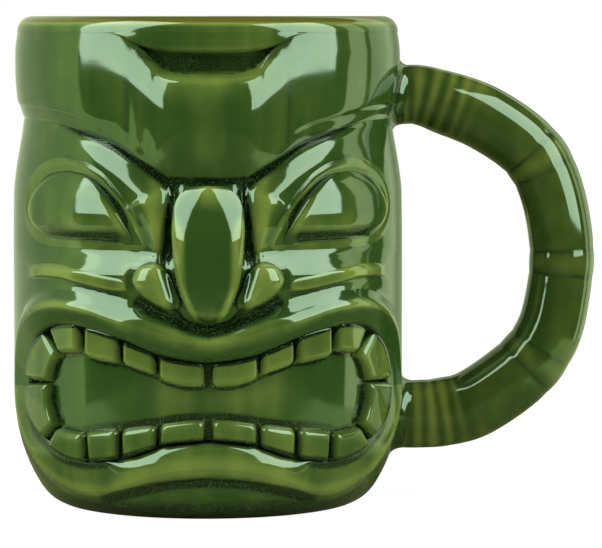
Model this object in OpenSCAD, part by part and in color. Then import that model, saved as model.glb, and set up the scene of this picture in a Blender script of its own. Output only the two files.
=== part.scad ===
// Tiki mug: a glazed cup with a carved face luted on in front and a bamboo handle at its side.
// The face looks along -Y, the handle stands out along +X, and the cup's axis is Z.
// Places on the wall are given as an angle round the cup in degrees, 0 in front, and a height in mm.

/* [Cup] */
// Largest radius of the plain wall
body_radius = 45.7; // [40:0.1:55]
// Wall from the inside of the cup to the plain wall
wall_thickness = 7.5; // [6.5:0.5:10]
// Thickness of the floor of the cup
floor_thickness = 5; // [3:0.5:8]
// How far the wall turns in at the base
base_turn = 9.7; // [6:0.1:13]
// Rounding of the inside bottom corner
inside_round = 12; // [6:1:18]
// Depth of the channel that the brow band sits in
neck_depth = 3.5; // [2.5:0.25:4]
// Step from the plain wall in to the rim's outer edge
rim_step = 1.1; // [0.2:0.1:2]
// Height of the rim above the brow band
rim_height = 3.6; // [3:0.2:6]

/* [Foot] */
// Height of the bare foot under the cup
foot_height = 1.6; // [1:0.2:4]
// Width of the foot's standing face
foot_width = 4.5; // [3:0.5:8]
// Step from the turn of the wall in to the foot
foot_inset = 1.5; // [0.5:0.25:4]

/* [Brow] */
// Height of the brow band at the sides
brow_height = 20.4; // [18:0.2:26]
// How far the band hangs down over the nose
brow_drop = 13; // [9:0.5:15]
// Angle from the front at which half of that drop is left
brow_spread = 23; // [18:0.5:27]
// Depth of the upright flutes in the band
flute_depth = 0.7; // [0.2:0.1:1.2]
// Flutes round a full turn
flute_count = 16; // [12:2:20]
// How far the band's upper edge dips at the front
forelock_dip = 9.4; // [7:0.2:12]
// How far the rim's lip hangs down at the front
lip_hang = 5; // [3:0.25:6]
// Angle from the front at which that dip ends
dip_angle = 35; // [28:1:40]

/* [Eyes] */
// Angle of the middle of each eye
eye_angle = 43; // [41:0.5:48]
// Half the angle that an eyelid ring spans
eye_half_angle = 24; // [18:0.5:25]
// Half the height of an eyelid ring
eye_half_height = 9.4; // [7:0.2:12]
// Half the width of the eyelid's ridge
eyelid_half_width = 1.7; // [1.2:0.1:2.2]
// Height of the eyelid's ridge over the socket
eyelid_height = 1.7; // [1:0.1:2.5]
// Depth of the eye socket in the wall
socket_depth = 1.6; // [1:0.1:2.4]
// Room between the eyelid's ridge line and the socket's edge
socket_margin = 3.2; // [2.4:0.2:4]
// Height of the eyeball's dome
eyeball_height = 2.2; // [1:0.1:3]
// Height of the wall between the socket and the brow band
temple_height = 6.4; // [5:0.2:10]

/* [Nose] */
// Half the angle that the nose spans
nose_half_angle = 9.8; // [8:0.2:11]
// How far the tip of the nose stands out
nose_height = 5; // [3:0.25:8]
// How far a nostril stands out
nostril_height = 2.8; // [1.5:0.1:4]
// Gap between the nose and the brow above it, and the lip below it
nose_gap = 1.6; // [1:0.2:3]

/* [Cheeks] */
// Height of the cheek between the lip and the eye socket
cheek_height = 7.5; // [6:0.1:12]
// Angle where the cheekbone ridge runs out
cheekbone_angle = 63; // [55:1:70]
// Height of the cheekbone ridge over the wall
cheekbone_height = 1.5; // [0.8:0.1:2.5]
// Gap between the nostril and the cheekbone, in degrees
cheekbone_gap = 1.4; // [0.8:0.1:4]

/* [Mouth] */
// Height of the chin under the lowest point of the lip
chin_height = 5.1; // [4:0.1:8]
// Half the height of the mouth at its tallest, on the lip's crest
mouth_half_height = 20.5; // [17:0.5:24]
// Half the height of the mouth at its waist, on the lip's crest
mouth_waist = 13.7; // [12.5:0.1:16]
// Depth of the mouth in the wall
mouth_depth = 3.8; // [2.5:0.1:4.2]
// Width of the lip outside its crest
lip_outside = 2.4; // [1.6:0.1:3]
// Width of the lip inside its crest
lip_inside = 4; // [3:0.1:4.6]
// Height of the lip over the plain wall
lip_height = 1.4; // [0.8:0.1:2.5]
// Width of the step that the lip laps over the mouth's edge
lip_lap = 1; // [0.5:0.1:2]
// How much wider the lip and the teeth are at the mouth's corners
corner_spread = 1.5; // [1.2:0.05:1.8]
// Gap between the mouth's corner and the handle's joint
corner_gap = 0.3; // [0.2:0.1:4]

/* [Teeth] */
// Height of a tooth along the wall
tooth_length = 6; // [5:0.1:6.4]
// Height of a tooth over the mouth's floor
tooth_height = 3; // [2:0.1:3.6]
// Gap between two teeth, in degrees round the mouth
tooth_gap = 1.2; // [0.8:0.1:2]
// Gap between the teeth and the lip
gum_gap = 0.3; // [0.2:0.05:0.6]

/* [Chin] */
// Half the angle that the chin roll spans
chin_half_angle = 33; // [25:1:38]
// Half the height of the chin roll
chin_half_height = 2.1; // [1.5:0.1:2.4]
// How far the chin roll stands out
chin_roll_height = 1.6; // [0.8:0.1:2.5]

/* [Handle] */
// Radius of the bamboo handle
handle_radius = 7.5; // [6:0.25:8.5]
// Reach of the handle's middle line from the plain wall
handle_reach = 37.8; // [30:0.2:50]
// Height of the handle's lower joint
handle_low = 20.5; // [19.5:0.5:26]
// Depth of the handle's upper joint under the rim
handle_drop = 18.5; // [17:0.5:20]
// Height of the ridge at each bamboo node
node_height = 0.5; // [0.2:0.1:1]
// Depth of the grooves beside each ridge
groove_depth = 0.5; // [0.2:0.1:1]
// Distance from the middle of a ridge to its grooves
groove_offset = 2.1; // [1.6:0.1:2.6]
// Width of the slip collar round each handle joint
collar_width = 1.5; // [1:0.1:2]
// Length of the slip collar along the handle
collar_length = 3; // [2:0.25:5]

/* [Fit] */
// Film of slip and glaze between a piece and the wall that it is luted to
seat = 0.15; // [0.1:0.05:0.3]
// Gap between the handle and the cup, which the collars cover
joint_gap = 0.4; // [0.3:0.05:0.6]

/* [Hidden] */
$fn = 96;
GREEN = "#4d6b26";
OLIVE = "#6f7a33";
PALE_OLIVE = "#84894a";
DEEP_GREEN = "#35501f";
BARE_CLAY = "#cdbfa4";

// Heights of the zones of the face, from the foot up
mouth_z = chin_height + mouth_half_height + lip_outside;
mouth_top = mouth_z + mouth_half_height + lip_outside;
eye_z = mouth_top + cheek_height + socket_margin + eye_half_height;
notch_z = eye_z + eye_half_height + socket_margin + temple_height;
rim_base = notch_z + brow_height;
rim_z = rim_base + rim_height;
cavity_radius = body_radius - wall_thickness;
base_radius = body_radius - base_turn;
rim_radius = body_radius - rim_step;
floor_z = foot_height + floor_thickness;
nose_low = mouth_z + mouth_waist + lip_outside + nose_gap;
nose_top = notch_z - brow_drop - nose_gap;
nose_length = nose_top - nose_low;
mm_per_degree = body_radius * PI / 180;
pad_edge = 0.3;

// Outer wall of the cup as [height, radius] points, the channel of the brow band included
WALL = [
    [foot_height, base_radius],
    [foot_height + 1.4, body_radius - 0.76 * base_turn],
    [foot_height + 3.4, body_radius - 0.59 * base_turn],
    [foot_height + 8.4, body_radius - 0.34 * base_turn],
    [foot_height + 13.4, body_radius - 0.16 * base_turn],
    [foot_height + 18.4, body_radius - 0.06 * base_turn],
    [foot_height + 26, body_radius],
    [notch_z - 30, body_radius],
    [notch_z - 17, body_radius - 0.1],
    [notch_z - 12.5, body_radius - 0.6],
    [notch_z - 7, body_radius - 1.5],
    [notch_z - 3, body_radius - 2.2],
    [notch_z, body_radius - 2.5],
    [notch_z + 4, body_radius - neck_depth],
    [rim_z, body_radius - neck_depth]
];

// Slope of the wall's curve at one of its points
function wall_slope(i) =
    i == 0 ? (WALL[1][1] - WALL[0][1]) / (WALL[1][0] - WALL[0][0]) :
    i == len(WALL) - 1 ? 0 :
    (WALL[i + 1][1] - WALL[i - 1][1]) / (WALL[i + 1][0] - WALL[i - 1][0]);

// Radius of the plain wall at a height
function wall_radius(z) =
    let (
        zc = min(max(z, WALL[0][0]), rim_z),
        i = max([for (k = [0 : len(WALL) - 2]) if (k == 0 || zc >= WALL[k][0]) k]),
        span = WALL[i + 1][0] - WALL[i][0],
        t = (zc - WALL[i][0]) / span
    )
    (2 * t^3 - 3 * t^2 + 1) * WALL[i][1] + (t^3 - 2 * t^2 + t) * span * wall_slope(i)
    + (3 * t^2 - 2 * t^3) * WALL[i + 1][1] + (t^3 - t^2) * span * wall_slope(i + 1);

// Point at an angle and height, a distance h outside the plain wall
function on_wall(angle, z, h) =
    let (r = wall_radius(z) + h)
    [r * sin(angle), -r * cos(angle), z];

// One point of a smooth curve between b and c, with neighbours a and d
function curve_point(a, b, c, d, t) =
    0.5 * (2 * b + (c - a) * t + (2 * a - 5 * b + 4 * c - d) * t^2 + (3 * b - a - 3 * c + d) * t^3);

// Smooth closed curve through points, with steps pieces between each two
function smooth_loop(points, steps) =
    let (n = len(points))
    [for (i = [0 : n - 1], k = [0 : steps - 1])
        curve_point(
            points[(i + n - 1) % n], points[i], points[(i + 1) % n], points[(i + 2) % n], k / steps)];

// Outline moved outwards by a distance in mm, on the unrolled wall
function grow(outline, distance) =
    let (n = len(outline))
    [for (i = [0 : n - 1])
        let (
            step = outline[(i + 1) % n] - outline[(i + n - 1) % n],
            along = [step[0] * mm_per_degree, step[1]],
            out = [along[1], -along[0]] / norm(along)
        )
        outline[i] + distance * [out[0] / mm_per_degree, out[1]]];

// Mean of an outline's points
function middle_of(outline) =
    [for (k = [0, 1]) [for (p = outline) p[k]] * [for (p = outline) 1] / len(outline)];

// Faces of a closed solid made of rings of n points each, with one end point before and one after them
function stacked_faces(n, rings) = concat(
    [for (i = [0 : n - 1]) [0, 1 + i, 1 + (i + 1) % n]],
    [for (k = [0 : rings - 2], i = [0 : n - 1], half = [0, 1])
        let (a = 1 + k * n + i, b = 1 + k * n + (i + 1) % n)
        half == 0 ? [a, a + n, b] : [b, a + n, b + n]],
    [for (i = [0 : n - 1])
        [1 + (rings - 1) * n + i, 1 + rings * n, 1 + (rings - 1) * n + (i + 1) % n]]
);

// Faces of a closed ring or tube made of count sections of n points each
function ring_faces(n, count) =
    [for (k = [0 : count - 1], i = [0 : n - 1], half = [0, 1])
        let (
            k2 = (k + 1) % count,
            a = k * n + i,
            b = k * n + (i + 1) % n,
            c = k2 * n + i,
            d = k2 * n + (i + 1) % n
        )
        half == 0 ? [a, c, b] : [b, c, d]];

// Faces of a sweep of count sections of n points each, with each end closed by a fan from one point
function swept_faces(n, count, fan) = concat(
    [for (k = [0 : count - 2], i = [0 : n - 1], half = [0, 1])
        let (a = k * n + i, b = k * n + (i + 1) % n)
        half == 0 ? [a, a + n, b] : [b, a + n, b + n]],
    [for (i = [1 : n - 2])
        [fan, (fan + i) % n, (fan + i + 1) % n]],
    [for (i = [1 : n - 2])
        (count - 1) * n * [1, 1, 1] + [fan, (fan + i + 1) % n, (fan + i) % n]]
);

// Raised pad on the wall. Its height over its seat comes from a function of the share of the way
// out from its middle and of the place; the seat lies a distance below the plain wall.
module pad(outline, middle, height, sunk, under = [0.35, 0.7], over = [1, 0.94, 0.8, 0.6, 0.35]) {
    low = seat - sunk;
    shares = concat([for (s = under) [s, 0]], [[1, 0]], [for (s = over) [s, 1]]);
    points = concat(
        [on_wall(middle[0], middle[1], low)],
        [for (sh = shares, p = outline)
            let (q = middle + sh[0] * (p - middle))
            on_wall(q[0], q[1], low + sh[1] * height(sh[0], q))],
        [on_wall(middle[0], middle[1], low + height(0, middle))]
    );
    polyhedron(points, stacked_faces(len(outline), len(shares)));
}

// Height of a domed pad at a share of the way out from its middle
function dome(height, share) = pad_edge + (height - pad_edge) * sqrt(1 - 0.95 * share^2);

// Cut through the plain wall inside an outline, down to a depth
module recess(outline, depth) {
    n = len(outline);
    middle = middle_of(outline);
    under = -depth - 1;
    over = 3;
    points = concat(
        [on_wall(middle[0], middle[1], -0.6 * body_radius)],
        [for (h = [under, over], p = outline) on_wall(p[0], p[1], h)],
        [on_wall(middle[0], middle[1], 1.2 * body_radius)]
    );
    low = min([for (p = outline) p[1]]) - 1;
    high = max([for (p = outline) p[1]]) + 1;
    intersection() {
        polyhedron(points, stacked_faces(n, 2));
        wall_of_turn(low, high, -depth, 2 * wall_thickness);
    }
}

// Solid of turn between two distances from the plain wall
module wall_of_turn(low, high, inner, outer) {
    steps = ceil((high - low) / 3);
    heights = [for (i = [0 : steps]) low + (high - low) * i / steps];
    rotate_extrude()
    polygon(concat(
        [for (z = heights) [wall_radius(z) + inner, z]],
        [[body_radius + outer, high], [body_radius + outer, low]]
    ));
}

// Share of a drop that is left at an angle from the front
function front_share(angle, spread) = 1 / (1 + pow(abs(angle) / spread, 3.4));

// Share of a dip that is left at an angle from the front, where the dip ends at a given angle
function dip_share(angle, end) = abs(angle) >= end ? 0 : cos(90 * angle / end)^2;

function brow_low(angle) = notch_z - brow_drop * front_share(angle, brow_spread);
function brow_high(angle) = rim_base - seat - forelock_dip * dip_share(angle, dip_angle);

// How deep the flutes are at an angle: they fade out at the sides
function flute(angle) =
    let (fade = min(1, max(0, (85 - abs(angle)) / 25)))
    flute_depth * fade * pow(abs(cos(angle * flute_count / 2)), 5);

// Radius of the brow band at a share of its height
SIDE_BROW = [[0, -2.1], [0.14, -1.7], [0.36, -0.6], [0.64, -0.3], [0.85, -0.45], [1, -rim_step]];
FRONT_BROW = [[0, -0.6], [0.05, 0.3], [0.14, 0.95], [0.3, 1.1], [0.55, 0.2], [0.83, -1.6], [1, -2.7]];
function brow_radius(angle, share) =
    let (front = front_share(angle, brow_spread))
    body_radius + (1 - front) * lookup(share, SIDE_BROW) + front * lookup(share, FRONT_BROW)
    - flute(angle) * min(1, 6 * share);

// Crest line of the lip and its offsets: a turn of 0 is the middle of the upper lip, 90 the corner
function mouth_corner() =
    90 - asin((handle_radius + collar_width) / body_radius) - (lip_outside + corner_gap) / mm_per_degree;
function mouth_point(turn, inset) =
    let (
        spread = inset > 0 ? corner_spread : 1,
        half_angle = mouth_corner() - inset * spread / mm_per_degree,
        tall = (mouth_half_height - inset) / 0.95,
        waist = (mouth_waist - inset) / tall,
        along = sin(turn),
        opened = 1 - (1 - waist) * (1 + cos(180 * min(1, abs(along) / 0.6))) / 2
    )
    [half_angle * along, mouth_z + tall * opened * cos(turn) * sqrt(1 + along^2)];

// Sections along each half of the lip
lip_steps = 40;

// Eyelid ridge as shares of the eye's half angle, towards the nose, and half height
EYE = [
    [0.98, -0.86], [0.9, -0.3], [0.7, 0.36], [0.42, 0.82], [0.1, 0.99], [-0.27, 1], [-0.65, 0.8],
    [-0.9, 0.38], [-0.97, -0.1], [-0.82, -0.55], [-0.5, -0.86], [-0.07, -0.94], [0.4, -0.96], [0.85, -0.97]
];
eye_middle = [-eye_angle, eye_z];
eye_line = smooth_loop([for (p = EYE) eye_middle + [p[0] * eye_half_angle, p[1] * eye_half_height]], 3);
eyeball_share = 1 - (eyelid_half_width + 1) / eye_half_height;

// The eyelid's ridge line drawn in towards the middle of the eye
function eye_drawn_in(share) = [for (p = eye_line) eye_middle + share * (p - eye_middle)];

// Outline of the nose as shares of its half angle and length
NOSE = [
    [0.5, 1], [0.8, 0.96], [0.96, 0.84], [1, 0.68], [0.98, 0.52], [0.9, 0.36], [0.75, 0.23], [0.54, 0.1],
    [0.28, 0.02]
];
nose_line = smooth_loop(concat(
    [for (p = NOSE) [-p[0] * nose_half_angle, nose_low + p[1] * nose_length]],
    [[0, nose_low]],
    [for (i = [len(NOSE) - 1 : -1 : 0]) [NOSE[i][0] * nose_half_angle, nose_low + NOSE[i][1] * nose_length]]
), 2);
NOSE_RISE = [[0, 0.8], [0.12, 1], [0.3, 0.97], [0.6, 0.68], [0.85, 0.42], [1, 0.3]];

// Outline of a nostril as shares of the nose's half angle and length
NOSTRIL = [
    [2.12, 0.3], [2, 0.22], [1.74, 0.14], [1.3, 0.085], [0.94, 0.07], [0.74, 0.13], [0.9, 0.22], [1, 0.29],
    [1.06, 0.36], [1.14, 0.41], [1.45, 0.435], [1.8, 0.41], [2.05, 0.355]
];
nostril_middle = [-1.42 * nose_half_angle, nose_low + 0.26 * nose_length];
nostril_line = smooth_loop(
    [for (p = NOSTRIL) [-p[0] * nose_half_angle, nose_low + p[1] * nose_length]], 2);

// Outline of the cheekbone ridge: share of the way out from the nostril, and share of the cheek's height
cheekbone_start = 2.12 * nose_half_angle + cheekbone_gap;
CHEEKBONE = [
    [1, 0.62], [0.84, 0.56], [0.62, 0.58], [0.42, 0.44], [0.14, 0.2], [0.03, 0.22], [0, 0.38],
    [0.03, 0.54], [0.16, 0.62], [0.42, 0.8], [0.62, 0.92], [0.82, 0.84]
];
function cheekbone_place(p) =
    [-(cheekbone_start + p[0] * (cheekbone_angle - cheekbone_start)), mouth_top + p[1] * cheek_height];
cheekbone_middle = cheekbone_place([0.45, 0.63]);
cheekbone_line = smooth_loop([for (p = CHEEKBONE) cheekbone_place(p)], 2);

// Where the teeth of one quarter of the mouth are cut, as turns at their gum and at their biting edge
TOOTH_CUTS = [[0, 0], [12.5, 15.5], [22.5, 28], [35, 44], [52, 60], [90, 90]];
tooth_count = 2 * (len(TOOTH_CUTS) - 1);

// Middle line of the handle: share of its reach from the wall, and share of its height
HANDLE = [
    [0, 1], [0.1, 1], [0.25, 0.978], [0.52, 0.925], [0.8, 0.825], [0.935, 0.7], [1, 0.515], [0.965, 0.355],
    [0.885, 0.24], [0.73, 0.14], [0.45, 0.04], [0.25, 0.004], [0.1, 0], [0, 0]
];
// Bamboo nodes along the handle, as shares of its length
NODES_AT = [0.086, 0.303, 0.509, 0.71, 0.92];
handle_high = rim_z - handle_drop;
handle_sides = 16;
curve_steps = 8;
plain_rings = 4;

function handle_place(i) =
    let (p = HANDLE[min(max(i, 0), len(HANDLE) - 1)])
    [body_radius + p[0] * handle_reach, handle_low + p[1] * (handle_high - handle_low)];
function handle_between(i, t) =
    curve_point(handle_place(i - 1), handle_place(i), handle_place(i + 1), handle_place(i + 2), t);
handle_line = concat(
    [for (i = [0 : len(HANDLE) - 2], k = [0 : curve_steps - 1]) handle_between(i, k / curve_steps)],
    [handle_place(len(HANDLE) - 1)]
);
handle_run = [for (i = 0, run = 0; i < len(handle_line);
    run = run + norm(handle_line[min(i + 1, len(handle_line) - 1)] - handle_line[i]), i = i + 1) run];
handle_length = handle_run[len(handle_run) - 1];
node_marks = [for (share = NODES_AT) share * handle_length];

// Place on the handle's middle line at a length along it
function handle_middle(run) =
    [for (k = [0, 1])
        lookup(run, [for (i = [0 : len(handle_line) - 1]) [handle_run[i], handle_line[i][k]]])];

// Lengths along the handle that get a ring: closer together at the nodes
node_edge = 1.5 * groove_offset;
handle_stations = [for (g = [0 : len(node_marks)])
    let (
        from = g == 0 ? 0 : node_marks[g - 1] + node_edge,
        to = g == len(node_marks) ? handle_length : node_marks[g] - node_edge
    )
    each concat(
        [for (k = [0 : plain_rings]) from + (to - from) * k / plain_rings],
        [for (share = [-1, -0.5, 0, 0.5, 1])
            if (g < len(node_marks)) node_marks[g] + share * groove_offset]
    )];

// Radius of the handle at a length along it: a ridge at each node, with a groove on each side
function handle_size(run) =
    let (away = min([for (mark = node_marks) abs(run - mark)]) / groove_offset)
    handle_radius + node_height * exp(-(1.8 * away)^2) - groove_depth * exp(-(3 * (away - 1))^2);

// Point round the handle, square to its middle line
function round_handle(run, turn, radius) =
    let (
        step = handle_middle(min(run + 0.5, handle_length)) - handle_middle(max(run - 0.5, 0)),
        across = [step[1], -step[0]] / norm(step),
        c = handle_middle(run)
    )
    [c[0] + radius * cos(turn) * across[0], radius * sin(turn), c[1] + radius * cos(turn) * across[1]];

// Outer radius of what a handle joint stands on: the brow band above, the plain wall below
function joint_radius(z) =
    let (share = (z - notch_z) / (rim_base - notch_z))
    z < notch_z ? wall_radius(z) : max(wall_radius(z), brow_radius(90, min(1, share)));

// Point of a handle joint on the cup's outside, from its place across and its height
function joint_point(y, z, gap) =
    let (r = joint_radius(z) + gap)
    [sqrt(r^2 - y^2), y, z];

upper_teeth = [for (i = [1 : tooth_count]) str("upper_tooth_", i)];
lower_teeth = [for (i = [1 : tooth_count]) str("lower_tooth_", i)];

// Cast cup with its cavity, the channel for the brow band, the mouth and the eye sockets
module cup_body() {
    wall_steps = 72;
    mouth_edge = [for (i = [2 * lip_steps : -1 : 1]) mouth_point(90 + 180 * i / lip_steps, lip_lap)];
    heights = [for (i = [0 : wall_steps]) foot_height + (rim_base - foot_height) * i / wall_steps];
    rim_turn = rim_radius - rim_height;
    inner_round = (rim_turn - cavity_radius) / 2;
    color(GREEN)
    difference() {
        rotate_extrude()
        polygon(concat(
            [[0, foot_height]],
            [for (z = heights) [wall_radius(z), z]],
            [for (t = [0 : 15 : 90]) [rim_turn + rim_height * cos(t), rim_base + rim_height * sin(t)]],
            [for (t = [0 : 15 : 90])
                [cavity_radius + inner_round * (1 - sin(t)), rim_z - inner_round * (1 - cos(t))]],
            [for (t = [0 : 10 : 90])
                [cavity_radius - inside_round * (1 - cos(t)), floor_z + inside_round * (1 - sin(t))]],
            [[0, floor_z]]
        ));
        recess(mouth_edge, mouth_depth);
        recess(grow(eye_line, socket_margin), socket_depth);
        mirror([1, 0, 0])
        recess(grow(eye_line, socket_margin), socket_depth);
    }
}

// Bare ring that the cup stands on
module foot_ring() {
    outer = base_radius - foot_inset;
    color(BARE_CLAY)
    rotate_extrude()
    translate([outer - foot_width, 0])
    square([foot_width, foot_height - seat]);
}

// Crescent of the rim that hangs down over the forelock
module rim_lip() {
    lip_angle = 0.85 * dip_angle;
    angles = [for (i = [0 : 24]) lip_angle * (i / 12 - 1)];
    thick = rim_radius - body_radius + neck_depth;
    section = [
        [0, seat], [0, thick], [0.35, thick], [0.7, 0.92 * thick],
        [0.92, 0.75 * thick], [1, thick / 2], [1, seat]
    ];
    n = len(section);
    rows = [for (a = angles, p = section)
        let (z = rim_base - seat - p[0] * (2 * seat + lip_hang * dip_share(a, lip_angle)))
        on_wall(a, z, p[1])];
    color(OLIVE)
    polyhedron(rows, swept_faces(n, len(angles), 0));
}

// Fluted band round the head, hanging down over the nose in front
module brow_band() {
    angles = [for (i = [0 : 89]) 180 - 4 * i];
    shares = [0, 0.05, 0.14, 0.25, 0.36, 0.5, 0.64, 0.85, 1];
    backs = [for (i = [12 : -1 : 0]) i / 12];
    points = [for (angle = angles)
        let (
            low = brow_low(angle),
            tall = brow_high(angle) - low
        )
        each concat(
            [for (s = shares)
                let (
                    z = low + s * tall,
                    r = max(brow_radius(angle, s), wall_radius(z) + 2 * seat)
                )
                [r * sin(angle), -r * cos(angle), z]],
            [for (s = backs) on_wall(angle, low + s * tall, seat)]
        )];
    color(DEEP_GREEN)
    polyhedron(points, ring_faces(len(shares) + len(backs), len(angles)));
}

// Egg of the nose, highest near its tip
module nose_bridge() {
    edge = 0.6;
    rise = function(z) nose_height * lookup((z - nose_low) / nose_length, NOSE_RISE);
    color(DEEP_GREEN)
    pad(nose_line, [0, nose_low + 0.4 * nose_length],
        function(s, q) edge + rise(q[1]) * sqrt(1 - 0.97 * s^2), 0);
}

// Nostril beside the nose, on the viewer's left
module nostril() {
    color(OLIVE)
    pad(nostril_line, nostril_middle, function(s, q) dome(nostril_height, s), 0);
}

// Eyeball in its socket, on the viewer's left
module eye() {
    color(OLIVE)
    pad(eye_drawn_in(eyeball_share), eye_middle, function(s, q) pad_edge + (eyeball_height - pad_edge) * (1 - s^2),
        socket_depth);
}

// Raised eyelid round the eyeball, on the viewer's left
module eyelid() {
    section = [[-1, 0.1], [-0.75, 0.55], [-0.35, 0.92], [0, 1], [0.35, 0.92], [0.75, 0.55], [1, 0.1]];
    flat = [[1, 0], [0, 0], [-1, 0]];
    low = seat - socket_depth;
    profile = concat(section, flat);
    lines = [for (p = profile)
        p[0] < 0 ? eye_drawn_in(1 + p[0] * eyelid_half_width / eye_half_height)
        : grow(eye_line, p[0] * eyelid_half_width)];
    points = [for (i = [0 : len(eye_line) - 1], k = [0 : len(profile) - 1])
        on_wall(lines[k][i][0], lines[k][i][1], low + profile[k][1] * eyelid_height)];
    color(PALE_OLIVE)
    polyhedron(points, ring_faces(len(profile), len(eye_line)));
}

// Cheekbone ridge under the eye, on the viewer's left
module cheekbone() {
    color(PALE_OLIVE)
    pad(cheekbone_line, cheekbone_middle, function(s, q) dome(cheekbone_height, s), 0);
}

// One half of the lip: it laps over the mouth's edge and stands on the mouth's floor
module lip(first) {
    low = seat - mouth_depth;
    section = [
        [-lip_outside, seat], [-lip_outside, 0.35 * lip_height], [-0.7 * lip_outside, 0.8 * lip_height],
        [0, lip_height], [0.3 * lip_inside, 0.65 * lip_height], [0.62 * lip_inside, -0.25 * mouth_depth],
        [0.85 * lip_inside, -0.6 * mouth_depth], [lip_inside, 0.8 * low], [lip_inside, low],
        [lip_lap + seat, low], [lip_lap + seat, seat]
    ];
    n = len(section);
    rows = [for (i = [0 : lip_steps], p = section)
        let (
            trim = i == 0 ? seat : i == lip_steps ? -seat : 0,
            q = mouth_point(first + 180 * i / lip_steps + trim, p[0])
        )
        on_wall(q[0], q[1], p[1])];
    color(PALE_OLIVE)
    polyhedron(rows, swept_faces(n, lip_steps + 1, n - 1));
}

module upper_lip() {
    lip(-90);
}

module lower_lip() {
    lip(90);
}

// One tooth, from the viewer's left; the lower row mirrors the upper row's cuts
module tooth(index, upper) {
    half = tooth_count / 2;
    from_middle = index <= half ? half - index : index - half - 1;
    side = index <= half ? -1 : 1;
    gum = lip_inside + gum_gap;
    edge = gum + tooth_length;
    cuts = [TOOTH_CUTS[from_middle], TOOTH_CUTS[from_middle + 1]];
    steps = 4;
    gum_turns = [for (i = [0 : steps])
        cuts[0][0] + tooth_gap / 2 + (cuts[1][0] - cuts[0][0] - tooth_gap) * i / steps];
    edge_turns = [for (i = [0 : steps])
        cuts[1][1] - tooth_gap / 2 - (cuts[1][1] - cuts[0][1] - tooth_gap) * i / steps];
    place = function(turn, inset) mouth_point(upper ? side * turn : 180 - side * turn, inset);
    between = (gum + edge) / 2;
    around = concat(
        [for (t = gum_turns) place(t, gum)],
        [place((gum_turns[steps] + edge_turns[0]) / 2, between)],
        [for (t = edge_turns) place(t, edge)],
        [place((edge_turns[steps] + gum_turns[0]) / 2, between)]
    );
    outline = side * (upper ? 1 : -1) > 0 ? [for (i = [len(around) - 1 : -1 : 0]) around[i]] : around;
    color(OLIVE)
    pad(outline, middle_of(outline), function(s, q) tooth_height * (s > 0.97 ? 0.6 : s > 0.85 ? 0.92 : 1),
        mouth_depth, under = [0.33, 0.67], over = [1, 0.9, 0.7]);
}

// Roll of the chin under the lower lip
module chin_roll() {
    middle = [0, chin_height];
    outline = [for (t = [0 : 10 : 350])
        middle + [chin_half_angle * cos(t), chin_half_height * sin(t)]];
    color(DEEP_GREEN)
    pad(outline, middle, function(s, q) dome(chin_roll_height, s), 0, under = [0.2, 0.4, 0.6, 0.8]);
}

// Bamboo handle, with its two ends cut to the cup's outside
module handle() {
    turns = [for (k = [0 : handle_sides - 1]) 360 * k / handle_sides];
    ends = [0.3, 0.65, 1];
    last = len(handle_stations) - 1;
    end_ring = function(run, share)
        [for (t = turns)
            let (p = round_handle(run, t, share * handle_radius))
            joint_point(p[1], p[2], joint_gap)];
    points = concat(
        [joint_point(0, handle_high, joint_gap)],
        [for (share = ends) each end_ring(0, share)],
        [for (i = [1 : last - 1], t = turns)
            round_handle(handle_stations[i], t, handle_size(handle_stations[i]))],
        [for (i = [len(ends) - 1 : -1 : 0]) each end_ring(handle_length, ends[i])],
        [joint_point(0, handle_low, joint_gap)]
    );
    color(GREEN)
    polyhedron(points, stacked_faces(handle_sides, last - 1 + 2 * len(ends)));
}

// Collar of slip pressed round a handle joint
module handle_collar(z) {
    turns = [for (k = [0 : 23]) 15 * k];
    inner = handle_radius + 2 * seat;
    section = [
        [0, 0], [collar_width, 0], [0.45 * collar_width, 0.35],
        [0.15 * collar_width, 0.7], [0.05, 1], [0, 1]
    ];
    points = [for (t = turns, p = section)
        let (
            r = inner + p[0],
            foot = joint_point(r * sin(t), z + r * cos(t), joint_gap)
        )
        foot + [p[1] * collar_length, 0, 0]];
    color(GREEN)
    polyhedron(points, ring_faces(len(section), len(turns)));
}

module mirrored() {
    mirror([1, 0, 0])
    children();
}

cup_body();
foot_ring();
rim_lip();
brow_band();
nose_bridge();
nostril();  // left_nostril
mirrored() nostril();  // right_nostril
eye();  // left_eye
mirrored() eye();  // right_eye
eyelid();  // left_eyelid
mirrored() eyelid();  // right_eyelid
cheekbone();  // left_cheekbone
mirrored() cheekbone();  // right_cheekbone
upper_lip();
lower_lip();
chin_roll();
handle();
handle_collar(handle_high);  // upper_handle_collar
handle_collar(handle_low);  // lower_handle_collar
for (i = [1 : tooth_count]) {
    tooth(i, true);
    tooth(i, false);
}
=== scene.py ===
"""Tiki mug of glazed stoneware: a cup with a face in relief and a bamboo handle at its side.

Places on the outside are given as an angle round the cup in degrees, 0 in front and positive
towards the handle, and a height in mm. The face is the same on both sides, so its forms are
drawn for negative angles alone.
"""

import logging
import math
from dataclasses import dataclass, field, replace
from enum import Enum
from typing import Callable, Sequence

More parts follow.
